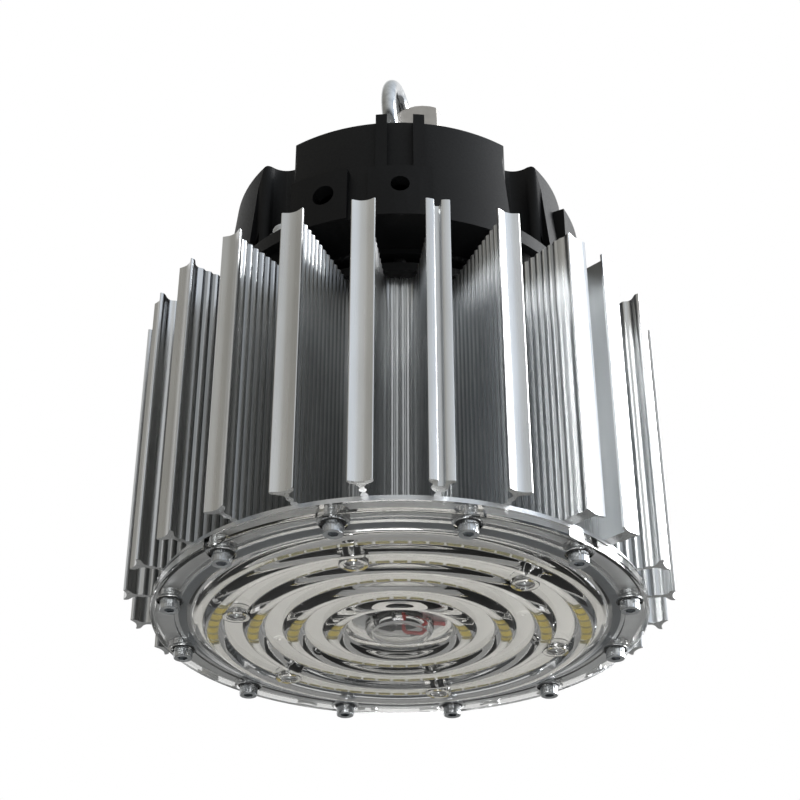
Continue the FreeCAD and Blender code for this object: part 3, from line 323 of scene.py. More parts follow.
def revolved(profile, steps=192):
    """Closed mesh from a half section of (radius, height) points turned round the axis."""
    work = bmesh.new()
    rings = []
    for radius, z in profile:
        if radius < 1e-6:
            rings.append([work.verts.new((0, 0, z * MM))])
        else:
            rings.append([work.verts.new(polar(360.0 * i / steps, radius, z) * MM)
                          for i in range(steps)])
    for lower, upper in zip(rings, rings[1:] + rings[:1]):
        if len(lower) == 1 and len(upper) == 1:
            continue
        for i in range(steps):
            j = (i + 1) % steps
            corners = [lower[i % len(lower)], lower[j % len(lower)], upper[j % len(upper)],
                       upper[i % len(upper)]]
            work.faces.new(list(dict.fromkeys(corners)))
    bmesh.ops.recalc_face_normals(work, faces=work.faces)
    mesh = bpy.data.meshes.new("revolved")
    work.to_mesh(mesh)
    work.free()
    return mesh


def arc(centre, radius, start, end, steps=8):
    """Points on an arc in the half section; angles in degrees from the +radius direction."""
    turns = [math.radians(start + (end - start) * i / steps) for i in range(steps + 1)]
    return [(centre[0] + radius * math.cos(t), centre[1] + radius * math.sin(t)) for t in turns]


print("a quarter turn at 10 mm ends at", [round(c, 3) for c in polar(90.0, 10.0)], "mm")

# %% [markdown]
# ## Heat sink
# The heat sink is one aluminium extrusion, cut to length, so its shape is one plane outline pushed
# along Z. The outline is walked once round: out along one ribbed side of a fin, over its dished cap,
# back along the other side, and across the small ribs of the valley to the next fin. Two places
# have a T channel for a bracket instead, which takes the webs of two fins. A triangulation fills the
# outline and leaves the hollows out. It is copied to the top, and only the edges that belong to one
# triangle get a wall, which gives a closed solid without a Boolean.

# %% Heat sink sizes
FIN_COUNT = 24
FIN_STEP = 360.0 / FIN_COUNT
FIN_START = FIN_STEP / 2
SLOTTED = (FIN_START, FIN_START + 180.0)
CHANNELS = (45.0, 225.0)
TIP_R = 120.0
CORE_R = 62.3
SINK_Z = 12.3
SINK_H = 134.3
WEB = 1.5
GROOVE = 0.9
RIB_PITCH = 3.88
RIB_START = 64.6
RIB_CREST = 107.8
CAP_HALF = 5.15
PLAIN_WEB_END = 113.0
SLOTTED_WEB_END = 109.0
CHANNEL_WEB_END = 113.2
HOLLOW_END = 99.5
GROOVED_FROM, GROOVED_TO = 66.0, 112.6
print("heat sink: a fin each", FIN_STEP, "degrees, ribs each", RIB_PITCH, "mm")


# %% Outline of one fin
def rib_wave(radius):
    """Cosine that is 1 on the crest of a rib and -1 in the middle of a groove."""
    return math.cos((radius - RIB_CREST) / RIB_PITCH * 2 * math.pi)


def ribbed_side(last):
    """Half thickness of the web along its length: rounded ribs on a thinner sheet."""
    points = []
    radius = RIB_START
    while radius < last:
        crest = max(0.0, 0.5 + 0.5 * rib_wave(radius)) ** 0.6
        points.append((radius, WEB - GROOVE + GROOVE * crest))
        radius += RIB_PITCH / 8
    return points


def cap_points():
    """From the web's end round one side of the dished cap to its middle."""
    flare = [(113.6, 0.95), (114.5, 1.1), (115.3, 1.5), (116.0, 2.15), (116.6, 3.0), (117.2, 3.9),
             (117.9, 4.7), (118.6, 5.05)]
    lip = [(119.4, CAP_HALF), (119.85, CAP_HALF - 0.12), (TIP_R, CAP_HALF - 0.45)]
    dish = [(TIP_R - 0.2, 4.2), (TIP_R - 0.65, 3.2), (TIP_R - 1.1, 2.1), (TIP_R - 1.35, 1.0)]
    return flare + lip + dish


def slotted_points():
    """The same for the fin with the screw slot: a round boss behind a straight slot."""
    flare = [(109.6, 1.0), (110.4, 1.6), (111.4, 2.5), (112.6, 3.2), (114.0, 3.45), (115.4, 3.25),
             (116.4, 3.2), (117.3, 3.8), (118.0, 4.7), (118.6, 5.1)]
    lip = [(119.4, CAP_HALF + 0.1), (119.85, CAP_HALF), (TIP_R, CAP_HALF - 0.4)]
    slot = [(TIP_R - 0.1, 3.4), (TIP_R - 0.3, 2.1), (TIP_R - 0.7, 1.52), (115.4, 1.52), (114.9, 1.1)]
    return flare + lip + slot


def mirrored(side, degrees):
    """Out along one side of a fin and back along the other."""
    out = [polar(degrees, radius, 0, -offset) for radius, offset in side]
    return out + [polar(degrees, radius, 0, offset) for radius, offset in side[::-1]]


ROOT = [(62.6, 3.4), (63.0, 2.5), (63.6, 1.9)]


def fin_outline(degrees):
    """One fin, from the root on one side to the root on the other."""
    if degrees in SLOTTED:
        return mirrored(ROOT + ribbed_side(SLOTTED_WEB_END) + slotted_points(), degrees)
    return mirrored(ROOT + ribbed_side(PLAIN_WEB_END) + cap_points(), degrees)


print("points on a plain fin:", len(fin_outline(FIN_START + FIN_STEP)))


# %% Outline of a channel with its two webs
def channel_half():
    """One side of the T channel in (outward, sideways) from the web to the slot's floor."""
    return [(113.9, 16.0), (114.8, 15.6), (115.8, 15.5), (116.8, 15.7), (117.7, 16.2),
            (118.4, 16.6), (118.9, 16.5), (119.2, 15.9), (119.1, 14.6), (118.5, 11.0), (118.9, 8.0),
            (119.7, 6.1), (119.5, 5.75), (118.6, 5.9), (118.1, 7.2), (117.2, 9.0), (116.4, 9.5),
            (104.0, 9.5)]


def web_pair(sides, degrees, inner):
    """Facing sides of a channel's two webs: the outer pair, or the inner pair round its hollow."""
    sign = 1 if inner else -1
    first = [polar(degrees - FIN_STEP / 2, radius, 0, sign * offset) for radius, offset in sides]
    last = [polar(degrees + FIN_STEP / 2, radius, 0, -sign * offset) for radius, offset in sides[::-1]]
    return first, last


def channel_outline(degrees):
    """Two webs whose ends carry the T channel between them."""
    first, last = web_pair(ROOT + ribbed_side(CHANNEL_WEB_END), degrees, inner=False)
    return first + mirrored(channel_half(), degrees) + last


def channel_chamber(degrees):
    """Closed hollow between the channel's two webs, its floor and the core."""
    first, last = web_pair(ROOT[-1:] + ribbed_side(HOLLOW_END), degrees, inner=True)
    return first + last + valley(degrees)[::-1]


def valley(degrees):
    """Small ribs in the bottom of a valley."""
    points = []
    for step in range(-20, 21):
        along = step * 0.27
        crest = max(0.0, math.cos(along / 2.3 * 2 * math.pi)) ** 0.7
        points.append(polar(degrees, CORE_R - 0.3 + 0.8 * crest, 0, along))
    return points


print("points on a channel:", len(channel_outline(CHANNELS[0])), "and round its hollow:",
      len(channel_chamber(CHANNELS[0])))

# %% Hollows of the core
SPOKES = 6
CORE_HOLLOW_R = 50.0
HUB_R = 14.0
HUB_BORE_R = 8.0
SPOKE_HALF = 3.0


def sector_arc(index, radius, steps=12):
    """Arc between two spokes of the core."""
    span = 360.0 / SPOKES
    edge = math.degrees(math.asin(SPOKE_HALF / radius))
    return [polar(index * span + edge + (span - 2 * edge) * i / steps, radius) for i in range(steps + 1)]


def chamber(index):
    """Hollow between two spokes of the core, out along its rim and back along the hub."""
    return sector_arc(index, CORE_HOLLOW_R) + sector_arc(index, HUB_R)[::-1]


def circle(radius, steps=24):
    """Round hollow on the axis."""
    return [polar(360.0 * i / steps, radius) for i in range(steps)]


hollows = [chamber(i) for i in range(SPOKES)] + [circle(HUB_BORE_R)]
hollows += [channel_chamber(channel) for channel in CHANNELS]
print("hollows in the section:", len(hollows))


# %% Walk round the section
def walk_round():
    """The heat sink's outer outline, walked once in order."""
    outline = []
    index = 0
    while index < FIN_COUNT:
        degrees = FIN_START + index * FIN_STEP
        if any(abs(degrees + FIN_STEP / 2 - channel) < 0.1 for channel in CHANNELS):
            outline += channel_outline(degrees + FIN_STEP / 2)
            index += 2
            degrees += FIN_STEP
        else:
            outline += fin_outline(degrees)
            index += 1
        outline += valley(degrees + FIN_STEP / 2)
    return outline


sink_outline = walk_round()
print("points on the outline:", len(sink_outline))


# %% Fill the section and push it up
def filled_extrusion(name, outlines, base, height):
    """Solid from closed plane outlines in millimetres; those inside another are holes."""
    corners, edges = [], []
    for outline in outlines:
        start = len(corners)
        corners += [Vector((point.x, point.y)) for point in outline]
        edges += [(start + i, start + (i + 1) % len(outline)) for i in range(len(outline))]
    filled = delaunay_2d_cdt(corners, edges, [], 2, 1e-5)
    plane, faces = filled[0], filled[2]
    area = sum(abs((plane[b] - plane[a]).cross(plane[c] - plane[a])) / 2 for a, b, c in faces)
    work = bmesh.new()
    low = [work.verts.new((v.x * MM, v.y * MM, base * MM)) for v in plane]
    high = [work.verts.new((v.x * MM, v.y * MM, (base + height) * MM)) for v in plane]
    sides = {}
    for face in faces:
        work.faces.new([low[i] for i in face][::-1])
        work.faces.new([high[i] for i in face])
        for first, second in zip(face, face[1:] + face[:1]):
            key = (min(first, second), max(first, second))
            sides[key] = None if key in sides else (first, second)
    for pair in filter(None, sides.values()):
        work.faces.new((low[pair[0]], low[pair[1]], high[pair[1]], high[pair[0]]))
    bmesh.ops.delete(work, geom=[v for v in work.verts if not v.link_faces], context="VERTS")
    bmesh.ops.recalc_face_normals(work, faces=work.faces)
    mesh = bpy.data.meshes.new(name)
    work.to_mesh(mesh)
    work.free()
    print(name, "section area", round(area), "mm2")
    return mesh


sink_mesh = filled_extrusion("heat_sink_profile", [sink_outline] + hollows, SINK_Z, SINK_H)
new_piece("heat_sink_extrusion", sink_mesh, ALUMINIUM, "extruded_aluminium", "heat_sink", smooth=35.0)


# %% Painted shade: darker metal in the grooves
def in_groove(face):
    """Upright face on a web whose middle lies between two ribs."""
    reach = math.hypot(face.center.x, face.center.y) / MM
    on_web = abs(face.normal.z) < 0.1 and GROOVED_FROM < reach < GROOVED_TO
    return on_web and rib_wave(reach) < -0.1


# The faces between the ribs take the second material, which is painted groove shade.
sink_mesh.materials.append(GROOVE_SHADE_METAL)
grooved = [face for face in sink_mesh.polygons if in_groove(face)]
for face in grooved:
    face.material_index = 1
print("heat sink faces:", len(sink_mesh.polygons), "of which in grooves:", len(grooved))

# %% [markdown]
# ## Lens
# The lens is moulded in clear polycarbonate. A rim with a step holds the screws, four round ridges
# stand over the rings of LEDs and spread their light, and a dome in the middle covers the leads.
# The section is turned round the axis. Bosses for the inner screws and posts for the rim screws are
# joined on with a Boolean modifier, and their wells and pockets are cut with another, because they
# lie off the axis and can't be turned with the rest.

# %% Sizes of the lens and of what stands on its circles
LED_RINGS = ((28.8, 26), (46.1, 42), (63.4, 56), (80.7, 72))
FIELD_Z = 2.3
RIM_SCREW_R, RIM_START, RIM_COUNT = 100.6, 15.0, 12
BOSS_SCREW_R, BOSS_START, BOSS_COUNT = 72.05, 45.0, 6
BOARD_SCREW_R, BOARD_START, BOARD_COUNT = 54.75, 16.0, 6
print("LEDs:", sum(count for radius, count in LED_RINGS), "in", len(LED_RINGS), "rings")


# %% Lens section
def ridge_section(radius, crown=5.9, foot=0.7, slope=50.0):
    """A round ridge that magnifies the LEDs behind it, with a hollow foot on each side."""
    lean = math.radians(slope)
    half = (crown + foot) * math.sin(lean)
    low = FIELD_Z - (crown + foot) * (1 - math.cos(lean))
    left = arc((radius - half, FIELD_Z - foot), foot, 90, 90 - slope, 4)
    top = arc((radius, low + crown), crown, -90 - slope, -90 + slope, 12)
    right = arc((radius + half, FIELD_Z - foot), foot, 90 + slope, 90, 4)
    return left[:-1] + top + right[1:]


def lens_section():
    """Half section of (radius, height): dome, ridges and rim outside, then back along the inside."""
    dome = [(0.0, 0.3), (11.4, 0.3)] + arc((11.4, 3.9), 3.6, -90, 0, 8)[1:]
    dome += [(15.0, 5.6), (21.8, 5.6), (22.6, 5.3), (23.3, 2.9), (24.0, FIELD_Z)]
    ridges = [point for radius, count in LED_RINGS for point in ridge_section(radius)]
    step = [(87.6, FIELD_Z), (89.0, 2.6), (92.6, 4.0), (94.2, 4.5), (107.4, 4.5), (108.0, 4.7)]
    rim = [(108.3, 5.3), (108.3, 9.6), (106.2, 9.6), (105.9, 7.0), (97.9, 7.0), (97.6, 9.6),
           (89.0, 9.6), (89.0, 8.2), (88.6, 7.7)]
    inside = [(23.6, 7.7), (23.3, 7.5), (13.1, 7.5), (13.1, 3.9), (11.8, 2.5), (10.6, 2.2), (0.0, 2.2)]
    return dome + ridges + step + rim + inside


print("points on the lens section:", len(lens_section()))


# %% Boolean and studs
def boolean(obj, tool_mesh, operation):
    """Apply one exact Boolean and drop its tool."""
    tool = bpy.data.objects.new("tool", tool_mesh)
    bpy.context.scene.collection.objects.link(tool)
    modifier = obj.modifiers.new("cut", "BOOLEAN")
    modifier.operation = operation
    modifier.solver = "EXACT"
    modifier.object = tool
    bpy.context.view_layer.update()
    graph = bpy.context.evaluated_depsgraph_get()
    mesh = bpy.data.meshes.new_from_object(obj.evaluated_get(graph))
    obj.modifiers.clear()
    obj.data = mesh
    bpy.data.objects.remove(tool)


def studs(profile, count, radius, start, steps=32):
    """One mesh of equal turned pieces on a circle: the posts, bosses and cutters of the lens."""
    single = revolved(profile, steps)
    work = bmesh.new()
    for index in range(count):
        copy = single.copy()
        copy.transform(Matrix.Translation(polar(start + 360.0 * index / count, radius) * MM))
        work.from_mesh(copy)
        bpy.data.meshes.remove(copy)
    mesh = bpy.data.meshes.new("studs")
    work.to_mesh(mesh)
    work.free()
    return mesh


# %% Turn the lens, add its bosses and cut its pockets
POST = [(0, 6.0), (6.6, 6.0), (6.6, 9.6), (0, 9.6)]
BOSS = [(0, 0.4), (5.75, 0.4), (6.15, 0.8), (6.15, 8.2), (0, 8.2)]
WELL = [(0, -1.0), (4.2, -1.0), (4.2, 3.6), (3.8, 3.6), (3.8, 5.8), (2.3, 5.8), (2.3, 9.4), (0, 9.4)]
POCKET = [(0, 2.0), (5.8, 2.0), (5.8, 6.0), (2.8, 6.0), (2.8, 12.0), (0, 12.0)]
lens = new_piece("lens_clear_cover", revolved(lens_section(), 240), LENS_CLEAR, "clear_polycarbonate",
                 "lens", smooth=0)
boolean(lens, studs(POST, RIM_COUNT, RIM_SCREW_R, RIM_START, 40), "UNION")
boolean(lens, studs(BOSS, BOSS_COUNT, BOSS_SCREW_R, BOSS_START, 40), "UNION")
boolean(lens, studs(WELL, BOSS_COUNT, BOSS_SCREW_R, BOSS_START), "DIFFERENCE")
boolean(lens, studs(POCKET, RIM_COUNT, RIM_SCREW_R, RIM_START), "DIFFERENCE")
shade(lens, 32.0)
print("lens faces:", len(lens.data.polygons))

# %% [markdown]
# ## LEDs and board
# Each LED is a small flat package whose long side lies along the circle: a tan case with a window
# of phosphor that takes nearly all of its face. Geometry Nodes set one package on every point of a
# circle. One function builds the tree, with the radius, the count and the start as inputs, so that
# it serves all four rings, and the screws too.

# %% LED sizes
LED_LONG = 5.6
LED_WIDE = 3.0
LED_FACE_Z = 7.8
LED_WINDOW_Z = 7.9
BOARD_Z = 8.5
print("LED package:", LED_LONG, "x", LED_WIDE, "x", round(BOARD_Z - LED_FACE_Z, 2), "mm")


# %% LED package
def led_package():
    """One package facing down: a case with a sunk phosphor window."""
    work = bmesh.new()
    long, wide = LED_LONG / 2, LED_WIDE / 2
    outer = [(-long, -wide), (long, -wide), (long, wide), (-long, wide)]
    inner = [(x * 0.94, y * 0.92) for x, y in outer]
    top = [work.verts.new((x * MM, y * MM, BOARD_Z * MM)) for x, y in outer]
    low = [work.verts.new((x * MM, y * MM, LED_FACE_Z * MM)) for x, y in outer]
    window = [work.verts.new((x * MM, y * MM, LED_FACE_Z * MM)) for x, y in inner]
    sunk = [work.verts.new((x * MM, y * MM, LED_WINDOW_Z * MM)) for x, y in inner]
    work.faces.new(top)
    for i in range(4):
        j = (i + 1) % 4
        work.faces.new((low[i], low[j], top[j], top[i]))
        work.faces.new((low[j], low[i], window[i], window[j]))
        work.faces.new((window[j], window[i], sunk[i], sunk[j]))
    face = work.faces.new(sunk[::-1])
    face.material_index = 1
    bmesh.ops.recalc_face_normals(work, faces=work.faces)
    mesh = bpy.data.meshes.new("led_package")
    work.to_mesh(mesh)
    work.free()
    mesh.materials.append(LED_CASE)
    mesh.materials.append(PHOSPHOR)
    return mesh


# %% Tree that sets a piece on a circle
def circle_tree(piece, material):
    """Geometry Nodes: instances of a piece on a circle, turned outwards, then made real. A piece
    that brings its own materials passes None."""
    tree = bpy.data.node_groups.new("pieces_on_a_circle", "GeometryNodeTree")
    sockets = tree.interface
    for name, kind, value in (("Radius", "NodeSocketFloat", 0.05), ("Count", "NodeSocketInt", 12),
                              ("Start", "NodeSocketFloat", 0.0)):
        socket = sockets.new_socket(name, in_out="INPUT", socket_type=kind)
        socket.default_value = value
    sockets.new_socket("Mesh", in_out="OUTPUT", socket_type="NodeSocketGeometry")
    inputs = add_node(tree, "NodeGroupInput")
    points = add_node(tree, "GeometryNodePoints", Count=inputs.outputs["Count"])
    index = add_node(tree, "GeometryNodeInputIndex")
    share = add_node(tree, "ShaderNodeMath", {"operation": "DIVIDE"}, i0=index.outputs[0],
                     i1=inputs.outputs["Count"])
    turn = add_node(tree, "ShaderNodeMath", {"operation": "MULTIPLY_ADD"}, i0=share.outputs[0],
                    i1=2 * math.pi, i2=inputs.outputs["Start"])
    across = add_node(tree, "ShaderNodeMath", {"operation": "SINE"}, i0=turn.outputs[0])
    front = add_node(tree, "ShaderNodeMath", {"operation": "COSINE"}, i0=turn.outputs[0])
    back = add_node(tree, "ShaderNodeMath", {"operation": "MULTIPLY"}, i0=front.outputs[0], i1=-1.0)
    direction = add_node(tree, "ShaderNodeCombineXYZ", X=across.outputs[0], Y=back.outputs[0])
    place = add_node(tree, "ShaderNodeVectorMath", {"operation": "SCALE"}, i0=direction.outputs[0],
                     Scale=inputs.outputs["Radius"])
    moved = add_node(tree, "GeometryNodeSetPosition", Geometry=points.outputs[0],
                     Position=place.outputs[0])
    spin = add_node(tree, "ShaderNodeCombineXYZ", Z=turn.outputs[0])
    source = add_node(tree, "GeometryNodeObjectInfo", Object=piece)
    placed = add_node(tree, "GeometryNodeInstanceOnPoints", Points=moved.outputs[0],
                      Instance=source.outputs["Geometry"], Rotation=spin.outputs[0])
    last = add_node(tree, "GeometryNodeRealizeInstances", Geometry=placed.outputs[0])
    if material is not None:
        last = add_node(tree, "GeometryNodeSetMaterial", Geometry=last.outputs[0], Material=material)
    output = add_node(tree, "NodeGroupOutput")
    tree.links.new(last.outputs[0], output.inputs[0])
    return tree


# %% Copies of a piece on a circle
def on_circle(name, piece_mesh, radius, count, start, material, slot, *nodes, smooth=30.0):
    """Copies of a piece on a circle, as one plain mesh that stands for CAD nodes."""
    master = bpy.data.objects.new(name + "_master", piece_mesh)
    bpy.context.scene.collection.objects.link(master)
    carrier = bpy.data.objects.new(name + "_carrier", bpy.data.meshes.new(name))
    bpy.context.scene.collection.objects.link(carrier)
    modifier = carrier.modifiers.new("circle", "NODES")
    modifier.node_group = circle_tree(master, material)
    values = {"Radius": radius * MM, "Count": count, "Start": math.radians(start)}
    for item in modifier.node_group.interface.items_tree:
        if item.in_out == "INPUT" and item.name in values:
            modifier[item.identifier] = values[item.name]
    bpy.context.view_layer.update()
    graph = bpy.context.evaluated_depsgraph_get()
    mesh = bpy.data.meshes.new_from_object(carrier.evaluated_get(graph))
    bpy.data.objects.remove(carrier)
    bpy.data.objects.remove(master)
    return new_piece(name, mesh, None, slot, *nodes, smooth=smooth)


# %% Set the four rings of LEDs
for number, (radius, count) in enumerate(LED_RINGS, start=1):
    packages = on_circle("led_ring_%d_packages" % number, led_package(), radius, count, 0.0, None,
                         "led_phosphor", "led_ring_%d" % number, smooth=0)
    print(packages.name, len(packages.data.polygons), "faces")
dressed("led_board", BOARD_MASK, "board_white")

# %% [markdown]
# ## Screws
# The rim screws are M5 cap screws: a knurled cylinder head with a hexagon socket. The knurl is a
# row of fine flutes round the head, coarser than the real ones so that it shows. A head is a stack
# of rings, and each ring's radius is a function of the angle: round, six-sided or fluted. One screw
# is made as a small mesh and set on its circle by the same Geometry Nodes tree as the LEDs. The
# nuts above the plate are thin collars. The board's screws are low and share the board's white.


# %% Shapes stacked from rings
def stacked(rings, steps):
    """Closed mesh from rings of points, each a function of the angle, one after another."""
    work = bmesh.new()
    made = []
    for radius_of, z in rings:
        made.append([work.verts.new(polar(360.0 * i / steps, radius_of(360.0 * i / steps), z) * MM)
                     for i in range(steps)])
    for lower, upper in zip(made, made[1:]):
        for i in range(steps):
            j = (i + 1) % steps
            work.faces.new((lower[i], lower[j], upper[j], upper[i]))
    work.faces.new(made[0][::-1])
    work.faces.new(made[-1])
    bmesh.ops.recalc_face_normals(work, faces=work.faces)
    mesh = bpy.data.meshes.new("stacked")
    work.to_mesh(mesh)
    work.free()
    return mesh


def round_bar(radius):
    """The same radius at every angle."""
    return lambda degrees: radius


def hexagonal(across_flats):
    """Radius of a hexagon at an angle."""
    def radius_of(degrees):
        turn = (degrees + 30.0) % 60.0 - 30.0
        return across_flats / 2 / math.cos(math.radians(turn))
    return radius_of


def knurled(radius, flutes=24, depth=0.16):
    """Radius of a fluted head at an angle."""
    return lambda degrees: radius - depth * (0.5 + 0.5 * math.cos(math.radians(degrees * flutes)))


# %% Screws and nuts
NUT_Z = 12.3
NUT_TOP_Z = 13.0


def cap_screw(head_r=4.25, head_h=5.0, socket=4.0, shank_r=2.5):
    """Cap screw, head down, from the bottom of its socket round the head to the shank's end."""
    rings = [(hexagonal(socket), 2.6), (hexagonal(socket), 0.35), (round_bar(2.75), 0.05),
             (round_bar(3.6), 0.0), (round_bar(3.95), 0.12), (knurled(head_r), 0.6),
             (knurled(head_r), head_h - 0.3), (round_bar(head_r - 0.2), head_h),
             (round_bar(shank_r), head_h), (round_bar(shank_r), NUT_TOP_Z)]
    return stacked(rings, 96)


def thin_nut(across_flats=8.0, chamfer=0.1):
    """Flat six-sided collar with a small chamfer on both faces."""
    low = round_bar(across_flats / 2 - 0.2)
    rings = [(low, NUT_Z), (hexagonal(across_flats), NUT_Z + chamfer),
             (hexagonal(across_flats), NUT_TOP_Z - chamfer), (low, NUT_TOP_Z)]
    return stacked(rings, 48)


def pan_head(head_r, head_h, shank_r, seat, top):
    """Pan head screw with a cross recess taken as a shallow dimple."""
    profile = [(0, seat - head_h + 0.5), (head_r * 0.28, seat - head_h + 0.5),
               (head_r * 0.36, seat - head_h), (head_r * 0.72, seat - head_h + 0.15),
               (head_r * 0.95, seat - head_h * 0.45), (head_r, seat), (shank_r, seat), (shank_r, top),
               (0, top)]
    return revolved(profile, 40)


# %% Set the screws on their circles
rim_screws = on_circle("rim_cap_screws", cap_screw(), RIM_SCREW_R, RIM_COUNT, RIM_START, ZINC_PLATE,
                       "plated_steel", "rim_screws", smooth=40.0)
on_circle("boss_pan_screws", pan_head(3.5, 2.2, 2.0, 5.8, 16.5), BOSS_SCREW_R, BOSS_COUNT, BOSS_START,
          ZINC_PLATE, "plated_steel", "boss_screws")
on_circle("board_pan_screws", pan_head(2.75, 0.7, 1.5, BOARD_Z, 20.5), BOARD_SCREW_R, BOARD_COUNT,
          BOARD_START, BOARD_MASK, "board_white", "board_screws")
on_circle("rim_thin_nuts", thin_nut(), RIM_SCREW_R, RIM_COUNT, RIM_START, ZINC_PLATE, "plated_steel",
          "rim_nuts")
print("screws:", len(rim_screws.data.polygons), "faces on the rim")

# %% [markdown]
# ## Hanging ring and lug
# The hanging ring is round bar bent to a circle and welded. It is a grid of points, one small circle
# at each step of the large one, so its ends meet without a seam. The lug is a zinc casting. Its
# plate is a side outline pushed through, with the edges of its right side bevelled. A turned foot
# with the bolt is joined on and the eye is cut through, each with a Boolean.


# %% Hanging ring
RING_X = -0.4
RING_Z = 292.1


def bent_bar(centre, major, minor, turn_deg, steps=128, sides=40):
    """Round bar bent to an upright circle; the turn is about Z."""
    work = bmesh.new()
    spin = Matrix.Rotation(math.radians(turn_deg), 4, "Z")
    rings = []
    for i in range(steps):
        a = 2 * math.pi * i / steps
        ring = []
        for j in range(sides):
            b = 2 * math.pi * j / sides
            reach = major + minor * math.cos(b)
            local = Vector((minor * math.sin(b), reach * math.cos(a), reach * math.sin(a)))
            ring.append(work.verts.new((spin @ local + centre) * MM))
        rings.append(ring)
    for i in range(steps):
        for j in range(sides):
            k, m = (i + 1) % steps, (j + 1) % sides
            work.faces.new((rings[i][j], rings[k][j], rings[k][m], rings[i][m]))
    bmesh.ops.recalc_face_normals(work, faces=work.faces)
    mesh = bpy.data.meshes.new("ring")
    work.to_mesh(mesh)
    work.free()
    return mesh


ring = new_piece("hanging_ring_bar", bent_bar(Vector((RING_X, 0, RING_Z)), 19.0, 3.9, -15.5),
                 ZINC_PLATE, "plated_steel", "hanging_ring", smooth=60.0)
print("ring faces:", len(ring.data.polygons))


# %% Hanging lug
def lug_outline():
    """The lug from the side (x, z): a shoulder that rises to the right."""
    points = [(-12.0, 246.0), (-14.0, 262.0), (-13.2, 274.0), (-9.6, 282.4), (-4.8, 289.4)]
    points += [(-2.4, 293.0), (0.5, 296.3), (4.0, 298.8), (8.5, 300.4), (12.5, 300.8), (16.5, 300.4)]
    return points + [(19.4, 299.5), (21.2, 297.8), (22.2, 295.0), (22.4, 260.0), (13.0, 246.0)]


def lug_plate(half=4.0):
    """The cast plate: its outline pushed through, with the edges of its right side bevelled."""
    work = bmesh.new()
    front = [work.verts.new((x * MM, -half * MM, z * MM)) for x, z in lug_outline()]
    pushed = bmesh.ops.extrude_face_region(work, geom=[work.faces.new(front)])
    for vert in [v for v in pushed["geom"] if isinstance(v, bmesh.types.BMVert)]:
        vert.co.y = half * MM
    bmesh.ops.recalc_face_normals(work, faces=work.faces)
    rims = [e for e in work.edges if abs(e.verts[0].co.y - e.verts[1].co.y) < 1e-6]
    corner = [e for e in rims if min(v.co.x for v in e.verts) > 21.0 * MM]
    bmesh.ops.bevel(work, geom=corner, offset=2.3 * MM, segments=1, affect="EDGES")
    mesh = bpy.data.meshes.new("lug_plate")
    work.to_mesh(mesh)
    work.free()
    return mesh


LUG_FOOT = [(0, 224.0), (5.9, 224.0), (5.9, 240.3), (15.0, 240.3), (15.0, 247.6), (14.4, 248.2),
            (0, 248.2)]
EYE = [(0, -6), (5.1, -6), (5.1, 6), (0, 6)]
lug = new_piece("hanging_lug_cast", lug_plate(), ZINC_CAST, "cast_zinc", "hanging_lug", smooth=0)
boolean(lug, revolved(LUG_FOOT, 64), "UNION")
eye = revolved(EYE, 40)
eye.transform(Matrix.Translation(Vector((RING_X, 0, 272.8)) * MM) @ Matrix.Rotation(math.pi / 2, 4, "X"))
boolean(lug, eye, "DIFFERENCE")
shade(lug, 28.0)
print("lug faces:", len(lug.data.polygons))

# %% [markdown]
# ## Pieces that keep their CAD shape
# The rest keep the shape of their CAD nodes, with smoothed facets and their own finish. The drum of
# the black housing is a cone with ribs and recesses. Its long thin facets would catch the light as
# triangles, so it is smoothed less, and its cone gets its true normals afterwards.

# %% Pieces with their CAD shape
KEPT = {
    "base_plate": (SHEET_METAL, "plate_aluminium"), "lens_gasket": (GREY_SEAL, "seal_rubber"),
    "rim_washers": (RUBBER, "seal_rubber"), "boss_nuts": (ZINC_PLATE, "plated_steel"),
    "boss_plugs": (LENS_CLEAR, "clear_polycarbonate"),
    "plate_screws": (BLACK_PLATE, "black_coating"), "wire_grommet": (RUBBER, "seal_rubber"),
    "lead_red": (RED_SLEEVE, "red_insulation"), "lead_black": (BLACK_SLEEVE, "black_insulation"),
    "mounting_plate": (BLACK_PLATE, "black_coating"), "housing_spacers": (BLACK_PLATE, "black_coating"),
    "driver_housing": (BLACK_COAT, "black_housing"), "housing_screws": (BLACK_PLATE, "black_coating"),
    "earth_stud": (ZINC_PLATE, "plated_steel"), "housing_base": (BLACK_COAT, "black_housing"),
    "housing_gasket": (RUBBER, "seal_rubber"), "base_screws": (BLACK_PLATE, "black_coating"),
    "driver_module": (DRIVER_CASE, "driver_case"), "terminal_block": (TERMINAL, "terminal_plastic"),
    "hanger_washer": (ZINC_PLATE, "plated_steel"), "hanger_nut": (ZINC_PLATE, "plated_steel"),
}
for name, (material, slot) in KEPT.items():
    dressed(name, material, slot, smooth=12.0 if name == "driver_housing" else 30.0)
print("pieces dressed:", len(KEPT))


